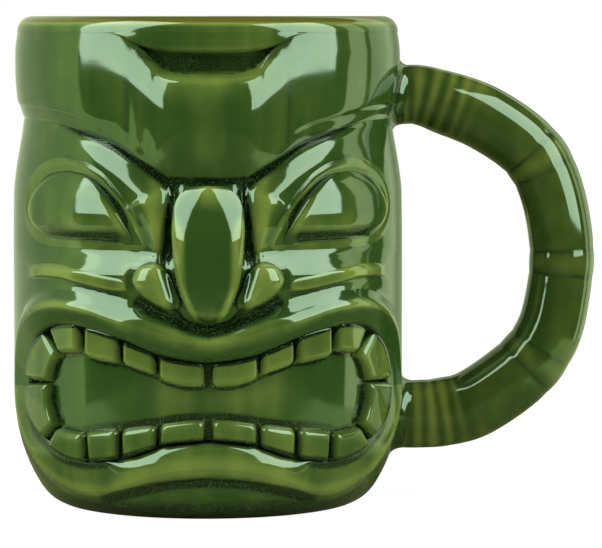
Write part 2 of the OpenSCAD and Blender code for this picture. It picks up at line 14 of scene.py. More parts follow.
import bpy
import numpy as np
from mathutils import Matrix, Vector


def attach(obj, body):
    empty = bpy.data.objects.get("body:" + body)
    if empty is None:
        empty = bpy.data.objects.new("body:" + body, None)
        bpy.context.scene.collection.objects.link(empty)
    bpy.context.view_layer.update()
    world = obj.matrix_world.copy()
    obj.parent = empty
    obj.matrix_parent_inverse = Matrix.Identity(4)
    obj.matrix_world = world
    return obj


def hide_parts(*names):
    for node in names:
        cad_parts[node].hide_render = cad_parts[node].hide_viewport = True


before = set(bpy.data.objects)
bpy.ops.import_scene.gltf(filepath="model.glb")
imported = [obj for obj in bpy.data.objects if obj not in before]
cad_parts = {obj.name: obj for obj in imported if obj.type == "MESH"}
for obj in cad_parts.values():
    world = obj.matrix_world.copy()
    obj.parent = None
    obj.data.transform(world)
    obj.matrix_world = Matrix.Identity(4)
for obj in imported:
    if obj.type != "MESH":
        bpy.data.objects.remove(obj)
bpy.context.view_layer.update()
LOG = logging.getLogger("tiki_mug")

Array = np.ndarray
Point = tuple[float, float]
Triple = tuple[float, float, float]
Curve = tuple[Point, ...]
Colour = tuple[float, float, float, float]
Form = Callable[[Array, Array], Array]
Settings = dict[str, object]
Inputs = dict[int | str, object]
MM = 0.001
WALL_RADIUS = 45.7
MM_PER_DEGREE = WALL_RADIUS * math.pi / 180
NOWHERE = -1e9
LEAST = 1e-6
PAD_ROOTS = (0.7, 1.0, 1.2)
WHITE = (1, 1, 1, 1)
BROW_EDGE: Curve = (
    (14.2, 78.6), (18.4, 80.7), (26.7, 84.5), (35.3, 86.8), (41.5, 87.9), (50, 89.2), (60, 90),
)
UPPER_LIP: Curve = (
    (-73.8, 35.2), (-69.6, 41.2), (-63, 45), (-54.2, 47.9), (-44.9, 49.1), (-35.5, 48.4), (-25.6, 46.5),
    (-16.5, 44.5), (-8, 42.4), (0, 41.3),
)


def linear(code: str) -> Colour:
    """Turn a screen colour into a shader colour.

    Args:
        code: Six hexadecimal digits.

    Returns:
        Linear red, green and blue, with an alpha of 1.
    """
    parts = [int(code[i:i + 2], 16) / 255 for i in (0, 2, 4)]
    red, green, blue = (p / 12.92 if p <= 0.04045 else ((p + 0.055) / 1.055) ** 2.4 for p in parts)
    return red, green, blue, 1.0


def ease(x: Array, low: float, high: float) -> Array:
    """Rise smoothly from 0 where x is low to 1 where it is high; low may be above high."""
    t = np.clip((x - low) / (high - low), 0, 1)
    return t * t * (3 - 2 * t)


def through(x: Array, points: Sequence[Point]) -> Array:
    """Read a smooth curve that never overshoots its points.

    Args:
        x: Where to read the curve.
        points: The curve's points in rising order.

    Returns:
        The curve's values, level beyond its two ends.
    """
    xs, ys = np.array(points, float).T
    spans = np.diff(xs)
    rates = np.diff(ys) / spans
    slopes = np.zeros(len(xs))
    slopes[0], slopes[-1] = rates[0], rates[-1]
    same = rates[:-1] * rates[1:] > 0
    safe = np.where(same, rates[:-1] * rates[1:] / np.where(same, rates[:-1] + rates[1:], 1), 0)
    slopes[1:-1] = 2 * safe
    inside = np.clip(x, xs[0], xs[-1])
    i = np.clip(np.searchsorted(xs, inside, "right") - 1, 0, len(xs) - 2)
    t = (inside - xs[i]) / spans[i]
    return (
        (2 * t**3 - 3 * t**2 + 1) * ys[i]
        + (t**3 - 2 * t**2 + t) * spans[i] * slopes[i]
        + (3 * t**2 - 2 * t**3) * ys[i + 1]
        + (t**3 - t**2) * spans[i] * slopes[i + 1]
    )


def bump(distance: Array, width: float | Array) -> Array:
    """Height of a soft ridge, 1 on its line and fading out at about twice its width."""
    return np.exp(-((distance / width) ** 2))


class Line:
    """A smooth line on the unrolled outside of the mug."""

    CHUNK = 20000
    REACH = 8.0
    FAR = 99.0
    TINY = 1e-12
    NUDGE = 2e-3

    def __init__(self, points: Sequence[Point], closed: bool = False, steps: int = 8) -> None:
        """Draw a smooth line through points.

        Args:
            points: Angles and heights that the line runs through.
            closed: Whether it runs back to its first point.
            steps: Pieces between each two points.
        """
        given = np.array(points, float)
        count = len(given)
        runs = count if closed else count - 1
        t = np.arange(steps)[:, None] / steps
        drawn = []
        for i in range(runs):
            ends = [i - 1, i, i + 1, i + 2]
            a, b, c, d = (given[k % count] if closed else given[min(max(k, 0), count - 1)] for k in ends)
            square, cube = 2 * a - 5 * b + 4 * c - d, 3 * b - a - 3 * c + d
            drawn.append(0.5 * (2 * b + (c - a) * t + square * t**2 + cube * t**3))
        if not closed:
            drawn.append(given[-1:])
        self.points = np.concatenate(drawn)
        self.closed = closed

    def near(self, angle: Array, height: Array) -> tuple[Array, Array, Array]:
        """Find the nearest place on the line.

        Args:
            angle: Angles of the places to measure from.
            height: Their heights.

        Returns:
            Distances in mm, negative inside a closed line and only roughly far beyond it; shares of
            the way along the line; and the side of the line, positive to its left.
        """
        start = self.points * [MM_PER_DEGREE, 1]
        step = np.roll(start, -1, axis=0) - start
        if not self.closed:
            start, step = start[:-1], step[:-1]
        length = np.maximum((step**2).sum(1), self.TINY)
        flat = np.stack([np.ravel(angle) * MM_PER_DEGREE, np.ravel(height)], 1)
        close = np.all((flat > start.min(0) - self.REACH) & (flat < start.max(0) + self.REACH), axis=1)
        found = np.zeros((3, len(flat)))
        found[0] = self.FAR
        places = np.flatnonzero(close)
        for part in np.split(places, range(self.CHUNK, len(places), self.CHUNK)):
            if len(part):
                found[:, part] = self._near(flat[part], start, step, length)
        distance, along, side = found.reshape((3, *np.shape(angle)))
        return distance, along, side

    def _near(self, places: Array, start: Array, step: Array, length: Array) -> tuple[Array, Array, Array]:
        """Find the nearest place on the line for one chunk of places.

        Args:
            places: Places in mm.
            start: First point of each piece of the line.
            step: From there to its last point.
            length: Square of each step's length.

        Returns:
            Distances, shares along the line and sides, as near gives them.
        """
        away = places[:, None, :] - start
        t = np.clip((away * step).sum(2) / length, 0, 1)
        off = away - t[..., None] * step
        square = (off**2).sum(2)
        best = square.argmin(1)
        rows = np.arange(len(places))
        distance = np.sqrt(square[rows, best])
        along = (best + t[rows, best]) / len(start)
        side = np.sign(step[best, 0] * away[rows, best, 1] - step[best, 1] * away[rows, best, 0])
        if self.closed:
            low, high = start[:, 1], start[:, 1] + step[:, 1]
            spans = (low <= places[:, 1:]) != (high <= places[:, 1:])
            rise = np.where(step[:, 1] == 0, self.TINY, step[:, 1])
            crossed = spans & (away[..., 0] < away[..., 1] / rise * step[:, 0])
            distance = np.where(crossed.sum(1) % 2 == 1, -distance, distance)
        return distance, along, side

    def at(self, share: Array) -> Array:
        """Read places on the line.

        Args:
            share: Shares of the way along it.

        Returns:
            Angles and heights, one row each.
        """
        points = np.concatenate([self.points, self.points[:1]]) if self.closed else self.points
        gaps = np.sqrt(((np.diff(points, axis=0) * [MM_PER_DEGREE, 1]) ** 2).sum(1))
        run = np.concatenate([[0], np.cumsum(gaps)])
        return np.stack([np.interp(share * run[-1], run, points[:, k]) for k in (0, 1)], 1)

    def offset(self, share: Array, distance: Array | float) -> Array:
        """Read places beside the line.

        Args:
            share: Shares of the way along it.
            distance: How far to its left, in mm.

        Returns:
            Angles and heights, one row each.
        """
        low, high = share - self.NUDGE, share + self.NUDGE
        if self.closed:
            low, high = low % 1, high % 1
        else:
            low, high = np.clip(low, 0, 1), np.clip(high, 0, 1)
        run = (self.at(high) - self.at(low)) * [MM_PER_DEGREE, 1]
        run /= np.linalg.norm(run, axis=1, keepdims=True)
        left = np.stack([-run[:, 1] / MM_PER_DEGREE, run[:, 0]], 1)
        return self.at(share) + left * np.reshape(distance, (-1, 1))


def on_outside(angle: Array, height: Array, radius: Array) -> Array:
    """Turn an angle, height and radius in mm into a point in metres."""
    turn = np.radians(angle)
    return np.stack([radius * np.sin(turn), -radius * np.cos(turn), height + 0 * radius], -1) * MM


def on_places(places: Array, radius: Array) -> Array:
    """Turn places, as angles and heights, and radii in mm into points in metres."""
    return on_outside(places[..., 0], places[..., 1], radius)


def hoop(angles: Array, radius: float, height: float) -> Array:
    """Points in metres on a level circle of a radius and height in mm."""
    return on_outside(angles, np.full(len(angles), height), np.full(len(angles), radius))


class Slot(Enum):
    """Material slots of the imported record."""

    CUP = "cup_glaze"
    RELIEF = "relief_glaze"
    EYE = "eye_glaze"
    TOOTH = "tooth_glaze"
    HANDLE = "handle_glaze"
    CLAY = "bare_clay"


class Side(Enum):
    """The viewer's left or right."""

    LEFT = "left"
    RIGHT = "right"


@dataclass
class Solid:
    """Points and faces of one closed piece, in metres."""

    name: str
    slot: Slot
    points: list[Array] = field(default_factory=list)
    faces: list[tuple[int, ...]] = field(default_factory=list)
    count: int = 0
    pooled: Array | None = None
    thinned: float | Array = 0.0
    # darkened: extra darkening over the map, painted shade on the teeth and a darker middle of the nose
    darkened: float | Array = 0.0

    def add(self, points: Array) -> Array:
        """Add points.

        Args:
            points: Points, the last axis being x, y and z.

        Returns:
            Their numbers, in the same layout.
        """
        flat = points.reshape(-1, 3)
        numbers = np.arange(self.count, self.count + len(flat)).reshape(points.shape[:-1])
        self.points.append(flat)
        self.count += len(flat)
        return numbers

    def quads(self, numbers: Array, close_rows: bool, close_columns: bool) -> None:
        """Join a grid of points with faces.

        Args:
            numbers: Numbers of the points in rows and columns.
            close_rows: Whether the last row joins the first.
            close_columns: Whether the last column joins the first.
        """
        if close_rows:
            numbers = np.concatenate([numbers, numbers[:1]], 0)
        if close_columns:
            numbers = np.concatenate([numbers, numbers[:, :1]], 1)
        a, b, c, d = numbers[:-1, :-1], numbers[:-1, 1:], numbers[1:, 1:], numbers[1:, :-1]
        self.faces.extend(map(tuple, np.stack([a, b, c, d], -1).reshape(-1, 4).tolist()))

    def fan(self, ring: Array, middle: Array, turned: bool) -> None:
        """Close a ring of points with a fan.

        Args:
            ring: Numbers of the ring's points.
            middle: The point that the fan runs to.
            turned: Whether the fan looks back along the rings.
        """
        hub = int(self.add(middle.reshape(1, 3))[0])
        after = np.roll(ring, -1)
        pairs = zip(ring.tolist(), after.tolist())
        self.faces.extend((hub, b, a) if turned else (hub, a, b) for a, b in pairs)

    def sweep(self, sections: Array, closed: bool) -> "Solid":
        """Join closed sections one after another.

        Args:
            sections: Sections along the first axis, their points along the second.
            closed: Whether the last section joins the first.

        Returns:
            This solid.
        """
        if not closed:
            return self.shell(sections, sections[0].mean(0), sections[-1].mean(0))
        self.quads(self.add(sections), True, True)
        return self

    def shell(self, rings: Array, first: Array, last: Array) -> "Solid":
        """Join rings from one end point to another.

        Args:
            rings: Rings along the first axis, their points along the second.
            first: End point before the first ring.
            last: End point after the last ring.

        Returns:
            This solid.
        """
        numbers = self.add(rings)
        self.quads(numbers, False, True)
        self.fan(numbers[0], first, True)
        self.fan(numbers[-1], last, False)
        return self

    def outward(self) -> "Solid":
        """Turn the faces so that they look out.

        Returns:
            This solid.
        """
        points = np.concatenate(self.points)
        corners = np.array([(f[0], f[k], f[k + 1]) for f in self.faces for k in range(1, len(f) - 1)])
        a, b, c = (points[corners[:, k]] for k in range(3))
        if (a * np.cross(b, c)).sum() < 0:
            self.faces = [tuple(reversed(f)) for f in self.faces]
        return self

    def mirrored(self, name: str) -> "Solid":
        """Copy the solid to the other side of the face.

        Args:
            name: Name of the copy.

        Returns:
            The copy.
        """
        points = [p * [-1, 1, 1] for p in self.points]
        faces = [tuple(reversed(f)) for f in self.faces]
        return replace(self, name=name, points=points, faces=faces)


@dataclass(frozen=True)
class Run:
    """A line that glaze runs to or from; the runs to it also paint shade, and one run from it paints a
    reflection on the mouth's floor.
    """

    line: Line
    width: float
    strength: float

    def over(self, angle: Array, height: Array) -> Array:
        """Strength of the run at angles and heights."""
        return self.strength * bump(self.line.near(angle, height)[0], self.width)


class Grid:
    """Values over a part of the unrolled outside's left half."""

    ANGLE_STEP = 0.3
    HEIGHT_STEP = 0.3

    def __init__(self, left: float, low: float, top: float) -> None:
        """Lay out the grid.

        Args:
            left: Its least angle; it ends at 0.
            low: Its least height in mm.
            top: Its greatest height in mm.
        """
        self.angles = np.arange(left, self.ANGLE_STEP / 2, self.ANGLE_STEP)
        self.heights = np.arange(low, top + self.HEIGHT_STEP, self.HEIGHT_STEP)
        self.angle, self.height = np.meshgrid(self.angles, self.heights)

    def blur(self, values: Array, width: float) -> Array:
        """Blur values on the grid.

        Args:
            values: The values.
            width: Width of the blur in mm.

        Returns:
            The blurred values.
        """
        for axis, step in ((0, self.HEIGHT_STEP), (1, self.ANGLE_STEP * MM_PER_DEGREE)):
            reach = int(3 * width / step) + 1
            weights = np.exp(-0.5 * (np.arange(-reach, reach + 1) * step / width) ** 2)
            weights /= weights.sum()
            pad = [(reach, reach) if k == axis else (0, 0) for k in (0, 1)]
            wide = np.pad(values, pad, mode="edge" if axis == 0 else "reflect")
            size = values.shape[axis]
            values = sum(w * np.take(wide, range(i, i + size), axis) for i, w in enumerate(weights))
        return values

    def read(self, values: Array, angle: Array, height: Array) -> Array:
        """Read values between the grid's points.

        Args:
            values: The values.
            angle: Angles of the places.
            height: Their heights in mm.

        Returns:
            The values there.
        """
        x = np.clip((-np.abs(angle) - self.angles[0]) / self.ANGLE_STEP, 0, len(self.angles) - 1.001)
        y = np.clip((height - self.heights[0]) / self.HEIGHT_STEP, 0, len(self.heights) - 1.001)
        i, j = x.astype(int), y.astype(int)
        u, v = x - i, y - j
        low = values[j, i] * (1 - u) + values[j, i + 1] * u
        high = values[j + 1, i] * (1 - u) + values[j + 1, i + 1] * u
        return low * (1 - v) + high * v


class Softened(Grid):
    """A form of the face with its edges softened, as clay smoothed with a sponge."""

    FACE = (-81.0, 39.0, 97.0)

    def __init__(self, form: Form, width: float) -> None:
        """Measure a form and soften its edges by a width in mm."""
        super().__init__(*self.FACE)
        self.values = self.blur(form(self.angle, self.height), width)


class Relief(Grid):
    """Map of the finished outside, from which the glaze's thick and thin places are read; the thick places
    also hold painted shade, and the thin ones a painted reflection on the mouth's floor.
    """

    FINE = 0.9
    BROAD_HOLLOW = 2.2
    BROAD_RIDGE = 2.6
    HOLLOWS = ((0.18, 0.75), (0.35, 1.3))
    HOLLOW_SHARE = 0.9
    RIDGES = ((0.05, 0.4), (0.15, 1.2))
    RIDGE_SHARES = (0.45, 0.6)

    def __init__(self, top: float, form: Form, pools_and_shade: Sequence[Run], thins_and_sheen: Sequence[Run]) -> None:
        """Measure the outside.

        Args:
            top: Height of the rim.
            form: Outer radius of the mug at angles and heights.
            pools_and_shade: Lines that glaze runs to, which also paint shade.
            thins_and_sheen: Lines that it runs from, one of them a painted reflection.
        """
        super().__init__(-180.0, 0.0, top)
        outside = form(self.angle, self.height)
        # The pool map holds pooled glaze and painted shade in hollows, creases and under forms.
        self.pool = np.clip(self.hollows(outside) + self.strongest(pools_and_shade), 0, 1)
        self.thin = self.ridges(outside) + self.strongest(thins_and_sheen)

    def strongest(self, runs: Sequence[Run]) -> Array:
        """Greatest strength of several runs over the grid."""
        return np.max([run.over(self.angle, self.height) for run in runs], axis=0)

    def hollows(self, outside: Array) -> Array:
        """Find where glaze runs together, which also paints shade into the hollows.

        Args:
            outside: Outer radii on the grid.

        Returns:
            Shares from 0 to 1.
        """
        fine = self.blur(outside, self.FINE) - outside
        broad = self.blur(outside, self.BROAD_HOLLOW) - outside
        small, large = self.HOLLOWS
        return np.clip(ease(fine, *small) + self.HOLLOW_SHARE * ease(broad, *large), 0, 1)

    def ridges(self, outside: Array) -> Array:
        """Find where glaze runs off and thins.

        Args:
            outside: Outer radii on the grid.

        Returns:
            Shares from 0 to 1.
        """
        fine = outside - self.blur(outside, self.FINE)
        broad = outside - self.blur(outside, self.BROAD_RIDGE)
        small, large = self.RIDGES
        fine_share, broad_share = self.RIDGE_SHARES
        return np.clip(fine_share * ease(fine, *small) + broad_share * ease(broad, *large), 0, 1)


class Wire:
    """One output of a node, on which shader sums are written."""

    def __init__(self, tree: "Tree", socket: bpy.types.NodeSocket) -> None:
        """Wrap a socket of a tree."""
        self.tree = tree
        self.socket = socket

    def _sum(self, operation: str, first: "Wire | float", second: "Wire | float") -> "Wire":
        """Add a Math node on two values."""
        return self.tree.out("ShaderNodeMath", {"operation": operation}, {0: first, 1: second})

    def __add__(self, other: "Wire | float") -> "Wire":
        """Add."""
        return self._sum("ADD", self, other)

    __radd__ = __add__

    def __sub__(self, other: "Wire | float") -> "Wire":
        """Take away."""
        return self._sum("SUBTRACT", self, other)

    def __rsub__(self, other: "Wire | float") -> "Wire":
        """Be taken away."""
        return self._sum("SUBTRACT", other, self)

    def __mul__(self, other: "Wire | float") -> "Wire":
        """Multiply."""
        return self._sum("MULTIPLY", self, other)

    __rmul__ = __mul__

    def __gt__(self, other: "Wire | float") -> "Wire":
        """Be 1 where this is greater."""
        return self._sum("GREATER_THAN", self, other)

    def __lt__(self, other: "Wire | float") -> "Wire":
        """Be 1 where this is less."""
        return self._sum("LESS_THAN", self, other)

    def __abs__(self) -> "Wire":
        """Drop the sign."""
        return self.tree.out("ShaderNodeMath", {"operation": "ABSOLUTE"}, {0: self})

    def most(self, other: "Wire | float") -> "Wire":
        """Take the greater of two values."""
        return self._sum("MAXIMUM", self, other)

    def eased(self, low: float, high: float) -> "Wire":
        """Rise smoothly from 0 at low to 1 at high."""
        settings = {"interpolation_type": "SMOOTHSTEP"}
        return self.tree.out("ShaderNodeMapRange", settings, {0: self, 1: low, 2: high})


class Tree:
    """The nodes of one material or of the world."""

    MIX_COLOURS = (6, 7)
    MIX_RESULT = 2

    def __init__(self, owner: bpy.types.Material | bpy.types.World) -> None:
        """Empty an owner's node tree and start on it.

        Args:
            owner: The material or the world.
        """
        owner.use_nodes = True
        self.tree = owner.node_tree
        self.tree.nodes.clear()

    def add(self, kind: str, settings: Settings, inputs: Inputs) -> bpy.types.Node:
        """Make a node.

        Args:
            kind: The node's type.
            settings: Its settings, made before its sockets are filled.
            inputs: Values or wires for its sockets, by number or name.

        Returns:
            The node.
        """
        node = self.tree.nodes.new(kind)
        for name, value in settings.items():
            setattr(node, name, value)
        for key, value in inputs.items():
            if isinstance(value, Wire):
                self.tree.links.new(value.socket, node.inputs[key])
            else:
                node.inputs[key].default_value = value
        return node

    def out(self, kind: str, settings: Settings, inputs: Inputs, name: str | int = 0) -> Wire:
        """Make a node and take its output of a name or number."""
        return Wire(self, self.add(kind, settings, inputs).outputs[name])

    def mixed(self, factor: Wire, first: object, second: object) -> Wire:
        """Mix two colours.

        Args:
            factor: Share of the second colour.
            first: A colour or a wire.
            second: A colour or a wire.

        Returns:
            The mixed colour.
        """
        a, b = self.MIX_COLOURS
        settings = {"data_type": "RGBA", "clamp_factor": True}
        return self.out("ShaderNodeMix", settings, {0: factor, a: first, b: second}, self.MIX_RESULT)

    def either(self, factor: Wire, first: Wire, second: Wire) -> Wire:
        """Mix two shaders by a factor."""
        return self.out("ShaderNodeMixShader", {}, {0: factor, 1: first, 2: second})

    def noise(self, place: Wire, scale: float, detail: float) -> Wire:
        """Make a noise over places."""
        inputs = {"Vector": place, "Scale": scale, "Detail": detail}
        return self.out("ShaderNodeTexNoise", {}, inputs, "Fac")

    def stored(self, name: str) -> Wire:
        """Read a value that is stored on the mesh."""
        return self.out("ShaderNodeAttribute", {"attribute_name": name}, {}, "Fac")

    def place(self, kind: str) -> Wire:
        """Read the shaded place in coordinates of a kind."""
        return self.out("ShaderNodeTexCoord", {}, {}, kind)

    def axes(self, vector: Wire) -> list[Wire]:
        """Split a vector into its x, y and z."""
        node = self.add("ShaderNodeSeparateXYZ", {}, {"Vector": vector})
        return [Wire(self, output) for output in node.outputs]

    def ray(self, kind: str) -> Wire:
        """Be 1 for rays of a kind."""
        return self.out("ShaderNodeLightPath", {}, {}, f"Is {kind} Ray")

    def bump(self, height: Wire, strength: float, distance: float) -> Wire:
        """Make a bumpy normal."""
        inputs = {"Strength": strength, "Distance": distance, "Height": height}
        return self.out("ShaderNodeBump", {}, inputs, "Normal")

    def backdrop(self, colour: object, strength: float = 1.0) -> Wire:
        """Make a shader of the surroundings."""
        return self.out("ShaderNodeBackground", {}, {"Color": colour, "Strength": strength})

    def show(self, shader: Wire, owner: str = "Material") -> None:
        """Lead a shader to the owner's output."""
        self.add(f"ShaderNodeOutput{owner}", {}, {"Surface": shader})


@dataclass(frozen=True)
class Glaze:
    """Glossy green glaze that breaks to olive where it is thin and to near black where it pools; the near
    black also paints the shade in hollows, creases and under forms, and the olive a reflection on the mouth's
    floor.
    """

    slot: Slot
    green: str = "1f3411"
    olive: str = "526228"
    edge: str = "414116"
    # dark: near black of pooled glaze, also the painted shade in hollows and creases
    dark: str = "0a1405"
    fleck: str = "35512a"
    sheen_tint: str = "d6ffd8"
    grain: float = 3200.0
    mottle: float = 160.0
    streak: float = 130.0
    streak_squash: float = 0.14
    pool_range: Point = (0.25, 0.8)
    thin_range: Point = (0.05, 0.95)
    edge_range: Point = (1.0, 1.5)
    fleck_range: Point = (0.57, 0.66)
    fleck_share: float = 0.75
    pool_mottle: float = 0.35
    pool_grain: float = 0.3
    thin_mottle: float = 0.3
    thin_streak: float = 0.7
    roughness: float = 0.06
    rough_mottle: float = 0.03
    rough_pool: float = 0.04
    ior: float = 1.52
    bump_mottle: float = 0.6
    bump_grain: float = 0.4
    bump_strength: float = 0.06
    bump_depth: float = 0.0004

    def material(self) -> bpy.types.Material:
        """Make the glaze's material.

        Returns:
            The material.
        """
        made = bpy.data.materials.new(self.slot.value)
        tree = Tree(made)
        place = tree.place("Object")
        pool, thin = tree.stored("pool"), tree.stored("thin")
        mottle, grain = tree.noise(place, self.mottle, 3.0), tree.noise(place, self.grain, 2.0)
        hung = tree.out("ShaderNodeMapping", {}, {"Vector": place, "Scale": (1.0, 1.0, self.streak_squash)})
        streak = tree.noise(hung, self.streak, 2.0)
        # pool carries pooled glaze and painted shade; thin carries thin glaze and, on the mouth's floor, a
        # painted reflection
        deep = pool + (mottle - 0.5) * self.pool_mottle + (grain - 0.5) * self.pool_grain
        deep = deep.eased(*self.pool_range)
        worn = thin + (mottle - 0.5) * self.thin_mottle + (streak - 0.5) * self.thin_streak
        worn = worn.eased(*self.thin_range)
        body = tree.mixed(worn, linear(self.green), linear(self.olive))
        body = tree.mixed(thin.eased(*self.edge_range), body, linear(self.edge))
        shaded = tree.mixed(deep, body, linear(self.dark))
        flecks = grain.eased(*self.fleck_range) * deep * self.fleck_share
        ripple = mottle * self.bump_mottle + grain * deep * self.bump_grain
        inputs = {
            "Base Color": tree.mixed(flecks, shaded, linear(self.fleck)),
            "Roughness": self.roughness + mottle * self.rough_mottle + deep * self.rough_pool,
            "IOR": self.ior,
            "Specular Tint": linear(self.sheen_tint),
            "Normal": tree.bump(ripple, self.bump_strength, self.bump_depth),
        }
        tree.show(tree.out("ShaderNodeBsdfPrincipled", {}, inputs))
        return made


@dataclass(frozen=True)
class BareClay:
    """Matt unglazed stoneware, with glaze on the outer side where the foot was dipped."""

    slot: Slot = Slot.CLAY
    clay: str = "b9a382"
    grog: str = "7d6a4e"
    glaze: str = "182a0c"
    grain: float = 2600.0
    grog_range: Point = (0.45, 0.75)
    dip_range: Point = (0.3, 0.6)
    roughness: float = 0.85
    polish: float = 0.75
    bump_strength: float = 0.2
    bump_depth: float = 0.0002

    def material(self) -> bpy.types.Material:
        """Make the clay's material.

        Returns:
            The material.
        """
        made = bpy.data.materials.new(self.slot.value)
        tree = Tree(made)
        grain = tree.noise(tree.place("Object"), self.grain, 4.0)
        dipped = tree.stored("pool").eased(*self.dip_range)
        clay = tree.mixed(grain.eased(*self.grog_range), linear(self.clay), linear(self.grog))
        inputs = {
            "Base Color": tree.mixed(dipped, clay, linear(self.glaze)),
            "Roughness": self.roughness - self.polish * dipped,
            "Normal": tree.bump(grain, self.bump_strength, self.bump_depth),
        }
        tree.show(tree.out("ShaderNodeBsdfPrincipled", {}, inputs))
        return made


@dataclass
class Cup:
    """The cast cup and the foot ring that it stands on."""

    rim_z: float = 114.0
    rim_base: float = 110.4
    rim_radius: float = 44.6
    cavity_radius: float = 38.2
    floor_z: float = 6.6
    inside_round: float = 12.0
    foot_height: float = 1.6
    foot_radius: float = 34.5
    foot_width: float = 4.5
    foot_columns: int = 160
    under_radius: float = 20.0
    floor_rings: Point = (18.0, 9.0)
    bore_drop: float = 6.0
    face_edge: float = 84.0
    side_edge: float = 110.0
    column_steps: Triple = (0.6, 2.0, 4.0)
    seam: float = 0.02
    profile: Curve = (
        (0.3, 34.9), (0.8, 36.0), (1.6, 37.2), (3.0, 38.6), (5.0, 40.0), (10.0, 42.5), (15.0, 44.2),
        (20.0, 45.2), (27.0, 45.7), (60.0, 45.7), (73.0, 45.55), (77.5, 45.1), (83.0, 44.2), (87.0, 43.5),
        (90.0, 43.1), (94.0, 42.3), (110.4, 42.2),
    )

    def plain(self, height: Array) -> Array:
        """Radius of the plain wall at heights."""
        return through(height, self.profile)

    def rim(self, height: Array) -> Array:
        """Outer radius of the rim, for the map.

        Args:
            height: Heights in mm.

        Returns:
            Radii, very low under the rim.
        """
        turn = self.rim_z - self.rim_base
        up = np.clip((height - self.rim_base) / turn, 0, 1)
        return np.where(height < self.rim_base, NOWHERE, self.rim_radius - turn * (1 - np.sqrt(1 - up**2)))

    def columns(self) -> Array:
        """Place the wall's columns, close together over the face.

        Returns:
            The angles, from the face's left edge right round.
        """
        fine, medium, coarse = self.column_steps
        face = np.arange(-self.face_edge, self.face_edge + 0.01, fine)
        side = np.arange(self.face_edge, self.side_edge, medium)[1:]
        back = np.arange(self.side_edge, 360 - self.side_edge, coarse)
        return np.concatenate([face, side, back, 360 - side[::-1]])

    def body(self, wall: Form) -> Solid:
        """Build the cup.

        Args:
            wall: Outer radius of the wall, with its hollows and swellings.

        Returns:
            The cup.
        """
        angles = self.columns()
        heights = np.concatenate([
            [0.3, 0.5, 0.8, 1.2], np.arange(self.foot_height, 6, 0.4), np.arange(6, 89, 0.5),
            np.arange(89, 100, 2.0), np.arange(100, 107, 1.0), [108.5, self.rim_base - self.seam],
        ])
        angle, height = np.meshgrid((angles + 180) % 360 - 180, heights)
        outside = on_outside(angle, height, wall(-np.abs(angle), height))
        inside = np.stack([hoop(angles, r, z) for r, z in self.inner_line()])
        under = hoop(angles, self.under_radius, self.foot_height)[None]
        solid = Solid("cup_body", Slot.CUP)
        ends = (np.array([0, 0, z * MM]) for z in (self.foot_height, self.floor_z))
        return solid.shell(np.concatenate([under, outside, inside]), *ends)

    def inner_line(self) -> list[Point]:
        """Draw the section of the rim and of the cavity.

        Returns:
            Radii and heights in mm, from the rim's outer side to the floor.
        """
        turn = self.rim_z - self.rim_base
        top = self.rim_radius - turn
        bore, bend = self.cavity_radius, self.inside_round
        lip = (top - bore) / 2
        low = self.floor_z + bend
        quarter = np.radians(np.linspace(0, 90, 10))
        line = [(top + turn * math.cos(t), self.rim_base + turn * math.sin(t)) for t in quarter]
        line += [(bore + lip * (1 - math.sin(t)), self.rim_z - lip * (1 - math.cos(t))) for t in quarter[1:]]
        line += [(bore, z) for z in np.linspace(self.rim_z - self.bore_drop, low, 8)[:-1]]
        line += [(bore - bend * (1 - math.cos(t)), low - bend * math.sin(t)) for t in quarter]
        return line + [(r, self.floor_z) for r in self.floor_rings]

    def foot(self) -> Solid:
        """Build the foot ring.

        Returns:
            The ring.
        """
        inner, outer = self.foot_radius - self.foot_width, self.foot_radius
        top = self.foot_height - self.seam
        section = [
            (inner + 0.4, 0.0), (outer - 0.5, 0.0), (outer, 0.12), (outer + 0.2, 0.5),
            (outer + 0.3, 1.0), (outer + 0.3, top), (inner, top), (inner, 0.35),
        ]
        angles = np.linspace(-180, 180, self.foot_columns, endpoint=False)
        sections = np.stack([hoop(angles, r, z) for r, z in section], 1)
        return Solid("foot_ring", Slot.CLAY).sweep(sections, True)


